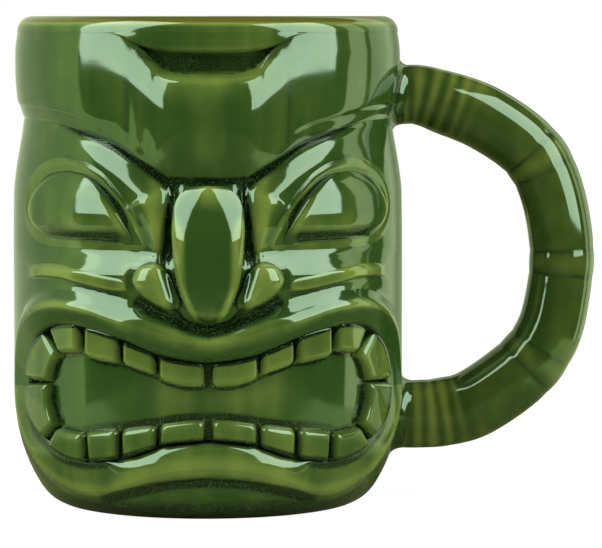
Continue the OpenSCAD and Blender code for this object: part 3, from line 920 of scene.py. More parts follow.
@dataclass
class Brow:
    """The band round the head, with the brow over the nose, and the rim's hanging lip."""

    rim_base: float = 110.4
    back_radius: float = 41.9
    back_rows: tuple[float, ...] = (1, 0.6, 0.3, 0)
    face_edge: float = 66.0
    face_step: float = 0.6
    back_step: float = 2.0
    thin: float = 0.2
    crease: Curve = ((0, 76.7), (6, 76.85), (9.7, 77.2)) + BROW_EDGE + ((90, 90.2), (180, 90.2))
    top: Curve = (
        (0, 101.1), (6, 101.3), (10, 101.6), (12.4, 102.12), (14, 102.95), (16, 104.45), (18.5, 106.2),
        (22, 108.25), (26, 109.8), (29, 110.4), (180, 110.4),
    )
    lip_edge: Curve = ((0, 105.4), (9, 105.5), (16, 106.2), (21, 107.3), (26, 109.3), (30, 110.3))
    lip_end: float = 30.0
    lip_face: Curve = ((0, 44.6), (0.5, 44.85), (0.72, 44.8), (0.86, 44.4), (0.95, 43.8), (1, 43.0))
    front_blend: Point = (34.0, 19.0)
    front: Curve = (
        (0, 44.2), (0.02, 44.85), (0.06, 45.25), (0.12, 45.5), (0.22, 45.9), (0.38, 46.3), (0.5, 46.45),
        (0.64, 46.5), (0.73, 46.4), (0.8, 46.0), (0.87, 45.35), (0.94, 44.6), (1, 43.95),
    )
    sides: Curve = (
        (0, 42.8), (0.015, 43.1), (0.15, 44.05), (0.175, 44.4), (0.21, 44.6), (0.35, 44.9), (0.5, 45.08),
        (0.64, 45.12), (0.76, 45.1), (0.82, 45.02), (0.88, 44.87), (1, 44.5),
    )
    flutes: tuple[Triple, ...] = ((8.0, 0.12, 2.0), (23.0, 0.06, 1.8), (47.0, 0.06, 2.4))
    flute_low: Point = (0.03, 0.2)
    flute_high: Point = (0.82, 0.55)
    forelock: Curve = (
        (0, 3.45), (7, 3.45), (10, 3.22), (12.5, 2.75), (15, 2.0), (17.5, 1.22), (20, 0.6), (22.5, 0.18),
        (25, 0.02), (28, -0.06), (31, -0.03), (34, 0.0),
    )
    forelock_side: Curve = (
        (0, 0.0), (0.05, 0.22), (0.12, 0.48), (0.25, 0.8), (0.38, 0.96), (0.5, 1.0), (0.92, 1.0), (1, 0.35),
    )

    def low(self, angle: Array) -> Array:
        """Height of the band's lower edge at angles."""
        return through(np.abs(angle), self.crease)

    def high(self, angle: Array) -> Array:
        """Height of the band's upper edge at angles."""
        return through(np.abs(angle), self.top)

    def band_radius(self, angle: Array, share: Array) -> Array:
        """Radius of the band.

        Args:
            angle: Angles.
            share: Shares of the way up the band.

        Returns:
            Radii in mm.
        """
        ahead = ease(np.abs(angle), *self.front_blend)
        radius = (1 - ahead) * through(share, self.sides) + ahead * through(share, self.front)
        inside = ease(share, *self.flute_low) * ease(share, *self.flute_high)
        for middle, depth, width in self.flutes:
            radius = radius - depth * inside * bump(np.abs(angle) - middle, width)
        return radius + through(np.abs(angle), self.forelock) * through(share, self.forelock_side)

    def band_relief(self, angle: Array, height: Array) -> Array:
        """Outer radius of the band, for the map.

        Args:
            angle: Angles.
            height: Heights in mm.

        Returns:
            Radii, very low beside the band.
        """
        low, high = self.low(angle), self.high(angle)
        share = (height - low) / (high - low)
        return np.where((share < 0) | (share > 1), NOWHERE, self.band_radius(angle, np.clip(share, 0, 1)))

    def lip_relief(self, angle: Array, height: Array) -> Array:
        """Outer radius of the hanging lip, for the map.

        Args:
            angle: Angles.
            height: Heights in mm.

        Returns:
            Radii, very low beside the lip.
        """
        edge = through(np.abs(angle), self.lip_edge)
        share = (self.rim_base - height) / np.maximum(self.rim_base - edge, 0.05)
        absent = (share < 0) | (share > 1) | (np.abs(angle) > self.lip_end)
        return np.where(absent, NOWHERE, through(np.clip(share, 0, 1), self.lip_face))

    def band(self) -> Solid:
        """Build the band.

        Returns:
            The band.
        """
        face = np.arange(-self.face_edge, self.face_edge + 0.01, self.face_step)
        side = self.face_edge + self.back_step
        angles = np.concatenate([face, np.arange(side, 360 - side, self.back_step)])
        turned = (angles + 180) % 360 - 180
        shares = np.concatenate([
            [0, 0.01, 0.02, 0.035, 0.05, 0.07, 0.09],
            np.linspace(0.11, 0.9, 40),
            [0.925, 0.95, 0.97, 0.985, 1],
        ])
        low, high = self.low(turned)[:, None], self.high(turned)[:, None]
        height = low + shares * (high - low)
        radius = self.band_radius(turned[:, None] + 0 * height, shares + 0 * height)
        outer = on_outside(turned[:, None], height, radius)
        back = low + np.array(self.back_rows) * (high - low)
        inner = on_outside(turned[:, None], back, np.full(back.shape, self.back_radius))
        sections = np.concatenate([outer, inner], 1)
        return Solid("brow_band", Slot.RELIEF, thinned=self.thin).sweep(sections[:, ::-1], True)

    def lip(self) -> Solid:
        """Build the rim's hanging lip.

        Returns:
            The lip.
        """
        angles = np.linspace(-self.lip_end, self.lip_end, 101)[:, None]
        shares = np.concatenate([np.linspace(0, 0.7, 15), np.linspace(0.74, 1, 12)])
        edge = through(np.abs(angles), self.lip_edge)
        height = self.rim_base - shares * (self.rim_base - edge)
        outer = on_outside(angles, height, through(shares, self.lip_face) + 0 * height)
        back = self.rim_base - np.array([1.0, 0.0]) * (self.rim_base - edge)
        inner = on_outside(angles, back, np.full(back.shape, self.back_radius))
        solid = Solid("rim_lip", Slot.RELIEF, thinned=self.thin)
        return solid.sweep(np.concatenate([outer, inner], 1), False)


@dataclass
class Eyes:
    """The eyeballs, the raised lids round them and the folds of the brow above them."""

    middle: Point = (-43.0, 71.0)
    lid: Curve = (
        (-18.4, 62.7), (-20.2, 66.6), (-23.4, 70.6), (-27.9, 74.4), (-33.6, 77.9), (-40.2, 79.7),
        (-48.5, 80.2), (-57.6, 78.6), (-64.0, 74.6), (-66.2, 69.8), (-63.0, 65.6), (-55.4, 63.2),
        (-44.8, 62.7), (-33.2, 62.6), (-23.5, 62.3),
    )
    crease: Curve = ((-70, 90.4), *((-angle, height) for angle, height in BROW_EDGE[::-1])) + (
        (-11.0, 76.4), (-10.4, 73.2), (-10.8, 69.8), (-11.3, 65.4), (-11.8, 61.5), (-12.0, 58.8),
    )
    groove: Curve = (
        (-72, 80.0), (-66, 81.4), (-60, 82.6), (-53, 83.0), (-46.3, 82.4), (-39.0, 80.9), (-31.4, 77.5),
        (-23.9, 72.2), (-19.4, 68.2), (-16.7, 63.8), (-15.6, 59.4),
    )
    fold: Curve = (
        (0, 0.0), (0.1, 0.14), (0.3, 0.55), (0.45, 0.9), (0.52, 1.0), (0.6, 0.97), (0.75, 0.7), (1, 0.3),
    )
    fold_size: Curve = (
        (0, 0.3), (0.236, 0.5), (0.338, 0.7), (0.412, 0.9), (0.519, 1.25), (0.631, 1.75), (0.69, 1.95),
        (0.739, 2.0), (0.787, 1.95), (0.847, 1.75), (0.96, 1.25), (1, 1.1),
    )
    crease_depth: float = 1.7
    crease_share: float = 0.19
    fold_fade: Point = (-62.0, -42.0)
    fold_foot: Point = (57.5, 60.5)
    fold_top: float = 91.0
    softness: float = 0.5
    lid_sections: int = 220
    lid_columns: int = 25
    lid_width: float = 1.9
    lid_height: float = 0.28
    lid_thin: float = 0.4
    lid_flat: float = 0.96
    lid_reach: float = 1.12
    lid_sunk: float = 0.25
    lid_root: float = 0.8
    lid_level: Point = (64.0, 68.0)
    lid_fade: Point = (-68.0, -50.0)
    lid_least: float = 0.3
    lid_inner: Curve = ((-32, 1.0), (-23, 0.6), (-18, 0.45))
    lid_slim: Curve = ((61, 0.6), (63, 0.62), (67, 0.9), (70, 1.0))
    lid_size: Curve = ((60, 0.25), (63, 0.25), (68, 0.7), (74, 1.0))
    ball_share: float = 0.85
    ball_height: float = 2.3
    ball_middle: float = 70.8
    ball_bend: Point = (38.0, 20.0)
    ball_low: Point = (66.0, 1.06)
    ball_thin: float = 0.15
    ball_edge: float = 2.0
    ball_step: float = 0.1
    socket_depth: float = 1.1
    socket_rim: Point = (1.6, -2.4)
    socket_fade: Point = (63.5, 73.0)
    groove_width: float = 1.6

    def __post_init__(self) -> None:
        """Draw the lines once."""
        self.lid_line = Line(self.lid, closed=True, steps=5)
        self.crease_line = Line(self.crease, steps=5)
        self.groove_line = Line(self.groove, steps=5)
        middle = np.array(self.middle)
        level, stretch = self.ball_low
        drawn_in = []
        for place in np.array(self.lid):
            sizes = (1, 1 if place[1] > level else stretch)
            drawn_in.append(middle + self.ball_share * (place - middle) * sizes)
        self.ball_line = Line(drawn_in, closed=True, steps=5)
        self.soft = Softened(self.cut, self.softness)

    def carve(self, angle: Array, height: Array) -> Array:
        """Change of the wall's radius round the eyes."""
        return self.soft.read(self.soft.values, angle, height)

    def cut(self, angle: Array, height: Array) -> Array:
        """Change of the wall's radius before it is softened.

        Args:
            angle: Angles.
            height: Heights in mm.

        Returns:
            Changes in mm.
        """
        inside = self.lid_line.near(angle, height)[0]
        socket = -self.socket_depth * ease(inside, *self.socket_rim) * ease(height, *self.socket_fade)
        above, along, upper = self.crease_line.near(angle, height)
        below, _, side = self.groove_line.near(angle, height)
        share = np.where(side > 0, above / np.maximum(above + below, LEAST), 1)
        ridge = through(share, self.fold) * through(along, self.fold_size) * (upper < 0)
        fold = ridge - self.crease_depth * ease(share, self.crease_share, 0)
        fold = fold * np.where(side > 0, 1, bump(below, self.groove_width))
        fold = fold * ease(angle, *self.fold_fade) * ease(height, *self.fold_foot) * (height < self.fold_top)
        return socket + fold

    def lid_relief(self, angle: Array, height: Array, wall: Array) -> Array:
        """Outer radius of a lid, for the map.

        Args:
            angle: Angles.
            height: Heights in mm.
            wall: Radius of the wall there.

        Returns:
            Radii, very low beside the lid.
        """
        off = self.lid_line.near(angle, height)[0] / self.slimmed(angle, height)
        rise = self.lid_rise(off, height) * self.lid_tall(angle, height)
        return np.where(np.abs(off) > self.lid_width, NOWHERE, wall + rise)

    def slimmed(self, angle: Array, height: Array) -> Array:
        """Share of the lid's full width, less along its bottom and at its inner end."""
        return through(height, self.lid_slim) * through(angle, self.lid_inner)

    def lid_tall(self, angle: Array, height: Array) -> Array:
        """Share of the lid's full height, less at its outer end and along its bottom."""
        outer = self.lid_least + (1 - self.lid_least) * ease(angle, *self.lid_fade)
        return through(height, self.lid_size) * outer

    def lid_rise(self, off: Array, height: Array) -> Array:
        """Height of the lid over the socket, at mm off its ridge; low down it is level up to the eyeball."""
        away = np.where(off < 0, off * ease(height, *self.lid_level), off)
        return self.lid_height * np.cos(np.clip(np.abs(away) / self.lid_width, 0, 1) * math.pi / 2) ** 2

    def ball_rise(self, angle: Array, height: Array) -> Array:
        """Height of the eyeball over the socket, rounded up and down and at its edge.

        Args:
            angle: Angles.
            height: Heights in mm.

        Returns:
            Heights in mm.
        """
        off = height - self.ball_middle
        dome = self.ball_height - off**2 / np.where(off > 0, *self.ball_bend)
        edge = np.clip(-self.ball_line.near(angle, height)[0] / self.ball_edge, 0, 1)
        return self.ball_step + np.maximum(dome, 0.1) * np.sqrt(1 - (1 - edge) ** 2)

    def eyelid(self, wall: Form) -> Solid:
        """Build the left lid.

        Args:
            wall: Radius of the wall that it stands on.

        Returns:
            The lid.
        """
        shares = np.linspace(0, 1, self.lid_sections, endpoint=False)
        line = self.lid_line.at(shares)
        offs = np.linspace(-self.lid_reach, self.lid_reach, self.lid_columns) * self.lid_width
        slim = self.slimmed(*line.T)
        places = np.stack([self.lid_line.offset(shares, off * slim) for off in offs], 1)
        outward = -offs if self.lid_line.near(*places[0, -1:].T)[0][0] < 0 else offs
        rise = self.lid_tall(*line.T)[:, None] * self.lid_rise(outward[None, :], line[:, 1:])
        sunk = ease(np.abs(offs), self.lid_width * self.lid_flat, self.lid_width * self.lid_reach)
        rise = rise - self.lid_sunk * sunk
        ground = wall(places[..., 0], places[..., 1])
        outer = on_places(places, ground + rise)
        inner = on_places(places[:, ::-6], ground[:, ::-6] - self.lid_root)
        solid = Solid("left_eyelid", Slot.RELIEF, thinned=self.lid_thin)
        return solid.sweep(np.concatenate([outer, inner], 1), True)

    def eyeball(self, wall: Form) -> Solid:
        """Build the left eyeball on a wall."""
        line, rise = self.ball_line, self.ball_rise
        return pad_solid("left_eye", Slot.EYE, line, self.middle, wall, rise, thin=self.ball_thin)


def pad_solid(
    name: str, slot: Slot, line: Line, middle: Point, wall: Form, rise: Form,
    around: int = 160, rings: int = 30, thin: float = 0.0,
) -> Solid:
    """Build a pad that stands on the wall inside an outline.

    Args:
        name: The piece's name.
        slot: Its material slot.
        line: Its outline.
        middle: A place that sees the whole outline.
        wall: Radius of the wall at heights and at angles that aren't positive.
        rise: Height of the pad over the wall at angles and heights.
        around: Points round the outline.
        rings: Rings from the middle out.
        thin: How thin its glaze is.

    Returns:
        The pad.
    """
    edge = line.at(np.linspace(0, 1, around, endpoint=False))
    shares = np.sin(np.linspace(0, math.pi / 2, rings + 1)[1:])[:, None, None]
    places = np.array(middle) + shares * (edge - np.array(middle))
    angle, height = places[..., 0], places[..., 1]
    ground = wall(-np.abs(angle), height)
    top = on_outside(angle, height, ground + rise(angle, height))
    rim_root, half_root, hub_root = PAD_ROOTS
    skirt = on_places(places[-1:], ground[-1:] - rim_root)
    below = on_places(places[rings // 2], ground[rings // 2] - half_root)[None]
    hub = np.array([middle])
    hub_ground = wall(-np.abs(hub[:, 0]), hub[:, 1])
    crown = on_places(hub, hub_ground + rise(*hub.T))[0]
    root = on_places(hub, hub_ground - hub_root)[0]
    return Solid(name, slot, thinned=thin).shell(np.concatenate([top, skirt, below]), crown, root)


def pad_relief(line: Line, rise: Form, angle: Array, height: Array, wall: Array) -> Array:
    """Outer radius of a pad on the wall, for the map; it is very low beside the pad's outline."""
    return np.where(line.near(angle, height)[0] < 0, wall + rise(angle, height), NOWHERE)


@dataclass
class Nose:
    """The nose and its two nostrils."""

    top: float = 76.5
    tip: float = 45.4
    half_width: Curve = (
        (45.4, 0.6), (45.7, 1.8), (46.1, 2.9), (46.8, 4.2), (47.7, 5.4), (49, 6.2), (50.2, 6.9),
        (52.8, 8.1), (55.4, 8.9), (58, 9.3), (62, 9.7), (66.5, 10.1), (69, 10.2), (71.4, 10.0), (73, 9.2),
        (74.5, 8.0), (75.6, 6.9), (76.2, 5.6), (76.5, 4.4),
    )
    crest: Curve = (
        (45.4, 46.8), (45.8, 47.9), (46.6, 49.1), (48.4, 50.3), (51, 50.65), (55, 50.7), (60, 50.65),
        (64, 50.45), (66, 50.15), (68, 49.7), (70, 49.2), (72, 48.7), (74, 48.2), (75.4, 47.8),
        (76.1, 47.3), (76.5, 46.2),
    )
    groove: Curve = (
        (-7.4, 77.0), (-8.6, 75.4), (-9.7, 72.6), (-10.4, 69.6), (-10.9, 66.0), (-11.5, 62.5),
        (-12.0, 59.8), (-11.4, 57.2), (-10.4, 54.3), (-9.4, 51.5), (-8.7, 48.7), (-6.0, 45.4), (0, 44.2),
    )
    nostril: Curve = (
        (-21.2, 55.1), (-20.3, 53.3), (-18.6, 51.8), (-15.8, 50.3), (-13.1, 49.2), (-10.3, 48.5),
        (-8.0, 48.6), (-7.4, 50.4), (-8.4, 52.8), (-9.7, 55.5), (-11.1, 57.7), (-13.0, 59.0), (-15.8, 59.4),
        (-18.6, 58.5), (-20.6, 56.6),
    )
    nostril_middle: Point = (-14.2, 53.6)
    nostril_height: float = 2.5
    nostril_round: float = 4.6
    nostril_thin: float = 0.15
    nostril_sunk: float = 0.2
    nostril_mesh: tuple[int, int] = (120, 26)
    middle: Point = (0.0, 58.0)
    mesh: tuple[int, int] = (200, 40)
    flank: Point = (0.42, 0.8)
    flank_fade: Point = (73.0, 66.0)
    flank_thin: float = 0.95
    top_thin: float = 0.7
    top_fade: Point = (66.0, 75.0)
    glaze: float = 0.32
    crest_pool: float = 0.2
    crest_reach: Point = (0.95, 0.45)
    crest_fade: Point = (74.0, 66.0)
    ridge: float = 0.3
    foot: Curve = (
        (45, 46.2), (54, 46.8), (60, 46.9), (65, 46.8), (68, 46.45), (70, 46.15), (74, 45.5), (76, 45.0),
    )
    groove_depth: float = 0.9
    groove_width: float = 1.0
    groove_fade: Point = (60.0, 57.0)
    groove_least: float = 0.3
    under: Curve = (
        (-19.0, 50.1), (-16.1, 48.6), (-13.3, 47.5), (-10.0, 46.5), (-6.7, 45.2), (-3.4, 44.3), (0.0, 43.8),
    )
    under_depth: float = 1.2
    under_width: float = 1.4
    ridge_blend: Point = (64.5, 75.5)

    def __post_init__(self) -> None:
        """Draw the lines once."""
        self.groove_line = Line(self.groove)
        self.under_line = Line(self.under)
        self.nostril_line = Line(self.nostril, closed=True, steps=5)
        side = [(-w, z) for z, w in self.half_width[::-1]]
        self.outline = Line(side + [(-a, z) for a, z in side[::-1]], closed=True, steps=4)

    def carve(self, angle: Array, height: Array) -> Array:
        """Change of the wall's radius beside and under the nose and the nostrils.

        Args:
            angle: Angles.
            height: Heights in mm.

        Returns:
            Changes in mm.
        """
        deep = self.groove_least + (1 - self.groove_least) * ease(height, *self.groove_fade)
        depth = self.groove_depth * deep
        beside = -depth * bump(self.groove_line.near(angle, height)[0], self.groove_width)
        return beside - self.under_depth * bump(self.under_line.near(angle, height)[0], self.under_width)

    def radius(self, angle: Array, height: Array) -> Array:
        """Radius of the nose.

        Args:
            angle: Angles.
            height: Heights in mm.

        Returns:
            Radii in mm.
        """
        across = np.clip(np.abs(angle) / through(height, self.half_width), 0, 1)
        foot = through(height, self.foot)
        full = math.hypot(1, self.ridge) - self.ridge
        ridged = 1 - (np.sqrt(across**2 + self.ridge**2) - self.ridge) / full
        rounded = np.sqrt(1 - across**2.2)
        share = rounded + (ridged - rounded) * ease(height, *self.ridge_blend)
        return foot + (through(height, self.crest) - foot) * share

    def relief(self, angle: Array, height: Array) -> Array:
        """Outer radius of the nose, for the map; it is very low beside the nose."""
        absent = (height < self.tip) | (height > self.top) | (abs(angle) > through(height, self.half_width))
        return np.where(absent, NOWHERE, self.radius(angle, height))

    def nostril_rise(self, angle: Array, height: Array) -> Array:
        """Height of a nostril over the wall."""
        t = np.clip(-self.nostril_line.near(angle, height)[0] / self.nostril_round, 0, 1)
        return self.nostril_height * np.sqrt(1 - (1 - t) ** 2) - self.nostril_sunk

    def bridge(self, wall: Form) -> Solid:
        """Build the nose.

        Args:
            wall: Radius of the wall that it stands on.

        Returns:
            The nose.
        """
        def rise(angle: Array, height: Array) -> Array:
            """Height of the nose over the wall."""
            return self.radius(angle, height) - wall(-np.abs(angle), height)

        bridge = pad_solid("nose_bridge", Slot.RELIEF, self.outline, self.middle, wall, rise, *self.mesh)
        points = np.concatenate(bridge.points) / MM
        height = points[:, 2]
        angle = np.degrees(np.arctan2(points[:, 0], -points[:, 1]))
        across = np.abs(angle) / through(height, self.half_width)
        flank = ease(across, *self.flank) * ease(height, *self.flank_fade)
        worn = np.maximum(flank, self.top_thin * ease(height, *self.top_fade))
        bridge.thinned = self.flank_thin * worn - self.glaze
        bridge.darkened = self.crest_pool * ease(across, *self.crest_reach) * ease(height, *self.crest_fade)
        return bridge

    def wing(self, wall: Form) -> Solid:
        """Build the left nostril on a wall."""
        form = (self.nostril_line, self.nostril_middle, wall, self.nostril_rise)
        return pad_solid("left_nostril", Slot.RELIEF, *form, *self.nostril_mesh, self.nostril_thin)


@dataclass
class Cheeks:
    """The swelling of the cheeks and the ridges of the cheekbones."""

    spine: Curve = (
        (-64.0, 55.6), (-58.0, 56.0), (-52.0, 56.4), (-46.0, 56.4), (-39.0, 55.6), (-32.0, 54.7),
        (-26.5, 54.1), (-22.6, 54.0),
    )
    half_width: float = 1.7
    height: float = 0.28
    lip: Curve = ((-90, 30), (-75.2, 30)) + UPPER_LIP
    muzzle: Curve = ((-3, 2.95), (0, 2.85), (1, 2.6), (2.5, 1.97), (4, 1.4), (5, 1.2), (9, 1.2))
    shelf: float = 0.8
    shelf_step: Point = (-0.3, 0.8)
    shelf_ends: tuple[Point, Point] = ((-66.0, -58.0), (-21.0, -23.0))
    nose_blend: Point = (-28.0, -15.0)
    nose_swell: float = 0.9
    nose_steeper: float = 0.45
    side_fade: Point = (82.0, 40.0)
    ends: Curve = ((0, 0.15), (0.2, 0.75), (0.5, 1.0), (0.9, 1.0), (0.97, 0.8), (1, 0.4))
    thin: float = 0.4
    sunk: float = 0.12
    root: float = 0.9
    flatness: int = 4
    shoulder: float = 0.6
    bluntness: int = 14
    least_end: float = 0.02
    sections: int = 110
    columns: int = 25
    cheek: Curve = (
        (55, 4.0), (56, 2.3), (56.8, 1.9), (58, 1.25), (59.2, 0.55), (60.2, 0.0), (60.9, -0.4),
        (61.6, -0.55), (63, -0.45), (65, -0.2), (67, 0.0),
    )
    jaw: Curve = ((0, 0.0), (3, 0.0), (8, 0.45), (14, 1.1), (22, 1.8), (32, 2.5), (42, 3.1))

    def __post_init__(self) -> None:
        """Draw the ridge's line once."""
        self.line = Line(self.spine)

    def carve(self, angle: Array, height: Array) -> Array:
        """Change of the wall's radius over the cheeks and the muzzle.

        Args:
            angle: Angles.
            height: Heights in mm.

        Returns:
            Changes in mm.
        """
        over_lip = through(height - through(angle, self.lip), self.muzzle)
        above = height - through(angle, self.spine) + self.half_width
        outer, inner = self.shelf_ends
        shelf = self.shelf * ease(above, *self.shelf_step) * ease(angle, *outer) * ease(angle, *inner)
        by_nose = ease(angle, *self.nose_blend)
        lowest = min(value for _, value in self.cheek)
        cheek = (through(height, self.cheek) - lowest) * (1 + self.nose_steeper * by_nose) + lowest
        swell = np.minimum(over_lip + shelf + self.nose_swell * by_nose, cheek)
        return np.minimum(swell, through(height, self.jaw)) * ease(-angle, *self.side_fade)

    def rise(self, off: Array, along: Array) -> Array:
        """Height of the ridge over the cheek, at mm off its line and shares of the way along it."""
        section = np.clip(1 - (off / self.half_width) ** self.flatness, 0, 1) ** self.shoulder
        return self.height * through(along, self.ends) * section

    def relief(self, angle: Array, height: Array, wall: Array) -> Array:
        """Outer radius of the ridge, for the map."""
        off, along, _ = self.line.near(angle, height)
        return np.where(off > self.half_width, NOWHERE, wall + self.rise(off, along))

    def cheekbone(self, wall: Form) -> Solid:
        """Build the left cheekbone.

        Args:
            wall: Radius of the wall that it stands on.

        Returns:
            The ridge.
        """
        along = np.linspace(0, 1, self.sections)
        turn = np.linspace(-1, 1, self.columns) * math.pi / 2
        taper = np.sqrt(np.clip(1 - np.abs(2 * along - 1) ** self.bluntness, self.least_end, 1))
        across = np.sin(turn) * self.half_width
        places = np.stack([self.line.offset(along, off * taper) for off in across], 1)
        ground = wall(places[..., 0], places[..., 1])
        rise = self.rise(across[None, :], along[:, None]) - self.sunk
        outer = on_places(places, ground + rise)
        inner = on_places(places[:, ::-8], ground[:, ::-8] - self.root)
        solid = Solid("left_cheekbone", Slot.RELIEF, thinned=self.thin)
        return solid.sweep(np.concatenate([outer, inner], 1), False)


@dataclass
class Mouth:
    """The hollow of the mouth, the two halves of its lip and its teeth."""

    ridge: Curve = UPPER_LIP[::-1] + (
        (-75.2, 28.4), (-74.2, 21.6), (-70, 15.8), (-62.4, 10.8), (-54.6, 8.0), (-47, 6.6), (-39, 6.4),
        (-32, 7.1), (-22.6, 9.6), (-13.8, 11.7), (0, 13.1),
    )
    gum: Curve = (
        (0, 36.5), (-7.2, 37.0), (-14.8, 38.3), (-23.4, 40.9), (-33.2, 43.5), (-43.6, 44.5), (-51.6, 43.4),
        (-58.4, 40.8), (-63.6, 37.4), (-66.6, 33.2), (-67.4, 28.6), (-66.4, 23.0), (-62.6, 19.4),
        (-57.2, 16.9), (-51.6, 14.6), (-45.4, 13.5), (-38.4, 13.2), (-31.6, 13.9), (-22.2, 15.8),
        (-13.6, 18.0), (0, 19.1),
    )
    upper_teeth: tuple[Curve, ...] = (
        ((-67.0, 30.15), (-64.1, 37.0), (-56.2, 41.7), (-54.4, 30.8), (-52.5, 34.1), (-49.6, 36.6)),
        ((-53.2, 42.5), (-46.5, 44.3), (-40.3, 44.2), (-48.6, 37.6), (-44.5, 37.9), (-40.3, 38.4)),
        ((-38.3, 44.0), (-32.0, 43.4), (-26.5, 42.3), (-38.3, 37.4), (-32.4, 36.6), (-26.8, 36.3)),
        ((-25.1, 41.2), (-20.2, 40.1), (-15.5, 38.9), (-25.1, 35.9), (-20.2, 34.8), (-15.5, 33.7)),
        ((-13.9, 38.0), (-7.6, 37.0), (-1.4, 36.6), (-13.9, 32.9), (-7.9, 31.7), (-1.4, 31.5)),
    )
    lower_teeth: tuple[Curve, ...] = (
        ((-67.0, 29.4), (-66.6, 22.8), (-56.7, 17.7), (-54.4, 30.15), (-54.1, 25.5), (-51.3, 21.1)),
        ((-55.9, 16.4), (-48.6, 14.1), (-39.9, 13.3), (-50.4, 20.3), (-45.5, 19.7), (-39.9, 19.6)),
        ((-38.0, 13.4), (-32.6, 14.0), (-27.8, 14.6), (-38.1, 20.1), (-32.9, 20.6), (-27.8, 21.0)),
        ((-25.8, 15.3), (-20.6, 16.3), (-15.6, 17.4), (-25.8, 21.1), (-20.6, 21.7), (-15.6, 22.3)),
        ((-13.9, 18.2), (-7.6, 18.9), (-1.4, 19.2), (-13.8, 22.6), (-7.6, 23.3), (-1.4, 23.6)),
    )
    outer: Curve = ((-4.2, -0.15), (-3.3, 0.0), (-2.1, 0.33), (-1.0, 0.68), (0, 0.85))
    inner: Curve = (
        (0, 0.9), (0.15, 0.75), (0.35, 0.3), (0.55, -0.4), (0.72, -1.15), (0.86, -2.0), (0.95, -2.9),
        (1.05, -4.4), (1.1, -5.4),
    )
    corner: Curve = (
        (0, 0.8), (0.1, 0.7), (0.3, 0.2), (0.5, -0.35), (0.7, -0.9), (0.85, -1.3), (0.97, -1.7),
        (1.03, -2.6), (1.06, -3.6), (1.1, -5.4),
    )
    floor: Curve = (
        (8, 42.2), (16, 42.75), (20, 42.96), (24, 43.15), (28, 43.3), (32, 43.4), (36, 43.46), (40, 43.5),
        (46, 43.5),
    )
    tooth_pool: Curve = (
        (-40, 20.9), (-33, 21.8), (-26, 22.3), (-20, 22.9), (-14, 23.6), (-7, 24.4), (0, 24.7),
    )
    tooth_face: Curve = ((8, 44.0), (13, 44.7), (18, 45.3), (24, 45.7), (32, 46.0), (44, 45.8))
    tooth_edge: float = 1.8
    tooth_border: float = 0.5
    tooth_root: float = 0.3
    tooth_back: float = 0.97
    # Glaze pooled round each tooth's edge, which also paints the shade in the gaps between teeth, and painted
    # shade on each tooth's gum side, where the lip's shadow falls on the upper teeth.
    tooth_rim: Point = (0.6, 0.1)
    tooth_rim_pool: float = 0.6
    tooth_gum: Point = (0.5, 0.0)
    tooth_gum_pool: float = 0.35
    tooth_thin: Point = (0.45, 0.28)
    gum_round: float = 0.3
    lip_thin: Point = (-0.1, 0.35)
    lip_roots: tuple[float, ...] = (-6.4, -4.0, -1.0)
    lip_root_columns: tuple[int, ...] = (-1, 28, 0)
    lip_columns: tuple[int, int] = (15, 40)
    line_steps: tuple[int, int] = (8, 3)
    corner_blend: Point = (24.0, 34.0)
    step: Point = (-0.3, 0.8)
    steps: int = 25

    def __post_init__(self) -> None:
        """Draw the lip's crest and the gum once, each finely and coarsely."""
        self.crest, self.coarse = self.whole(self.ridge)
        self.gum_line, self.gum_coarse = self.whole(self.gum)

    def whole(self, half: Curve) -> list[Line]:
        """Draw a line round the whole mouth from its left half, finely and coarsely."""
        points = list(half) + [(-a, z) for a, z in half[-2:0:-1]]
        return [Line(points, closed=True, steps=steps) for steps in self.line_steps]

    def across(self, angle: Array, height: Array) -> Array:
        """Find the place across the lip.

        Args:
            angle: Angles.
            height: Heights in mm.

        Returns:
            Minus the mm outside the crest, shares of the way from it to the gum, or 1 plus the mm past that.
        """
        outside = self.coarse.near(angle, height)[0]
        to_gum = self.gum_coarse.near(angle, height)[0]
        within = np.where(to_gum < 0, 1 - to_gum, -outside / np.maximum(to_gum - outside, LEAST))
        return np.where(outside > 0, -outside, within)

    def hollow(self, angle: Array, height: Array, wall: Array) -> Array:
        """Radius of a wall after it is sunk to the mouth's floor."""
        return wall + (through(height, self.floor) - wall) * ease(self.across(angle, height), *self.step)

    def lip_relief(self, angle: Array, height: Array, wall: Array) -> Array:
        """Outer radius of the lip, for the map.

        Args:
            angle: Angles.
            height: Heights in mm.
            wall: Radius of the wall there.

        Returns:
            Radii, very low beside the lip.
        """
        across = self.across(angle, height)
        absent = (across < self.outer[0][0]) | (across > self.inner[-1][0])
        rise = np.where(across < 0, through(across, self.outer), self.inside(across, angle))
        return np.where(absent, NOWHERE, wall + rise)

    def inside(self, across: Array, angle: Array) -> Array:
        """Height of the lip between its crest and the gum, steeper towards the mouth's corners."""
        corner = ease(np.abs(angle), *self.corner_blend)
        return (1 - corner) * through(across, self.inner) + corner * through(across, self.corner)

    def tooth_grid(self, corners: Curve) -> tuple[Array, Array]:
        """Lay out a tooth's grid.

        Args:
            corners: Two ends and the middle of its gum, then of its biting edge.

        Returns:
            Angles and heights, rows from the gum to the biting edge.
        """
        t = np.linspace(0, 1, self.steps)
        weights = np.stack([(1 - t) * (1 - 2 * t), 4 * t * (1 - t), t * (2 * t - 1)], 1)
        at = np.array(corners[:3]), np.array(corners[3:])
        middle = (at[0].mean(0) + at[1].mean(0)) / 2
        gum, edge = (self.grown(weights @ line, middle) for line in at)
        grid = gum + t[:, None, None] * (edge - gum)
        return grid[..., 0], grid[..., 1]

    def grown(self, line: Array, middle: Array) -> Array:
        """Move a tooth's edge out from its middle by the width of its shaded border.

        Args:
            line: Angles and heights along the edge.
            middle: The tooth's middle.

        Returns:
            The moved edge.
        """
        away = (line - middle) * [MM_PER_DEGREE, 1]
        reach = np.abs(away).max(0)
        return line + away * np.minimum(1, self.tooth_border / reach) / [MM_PER_DEGREE, 1]

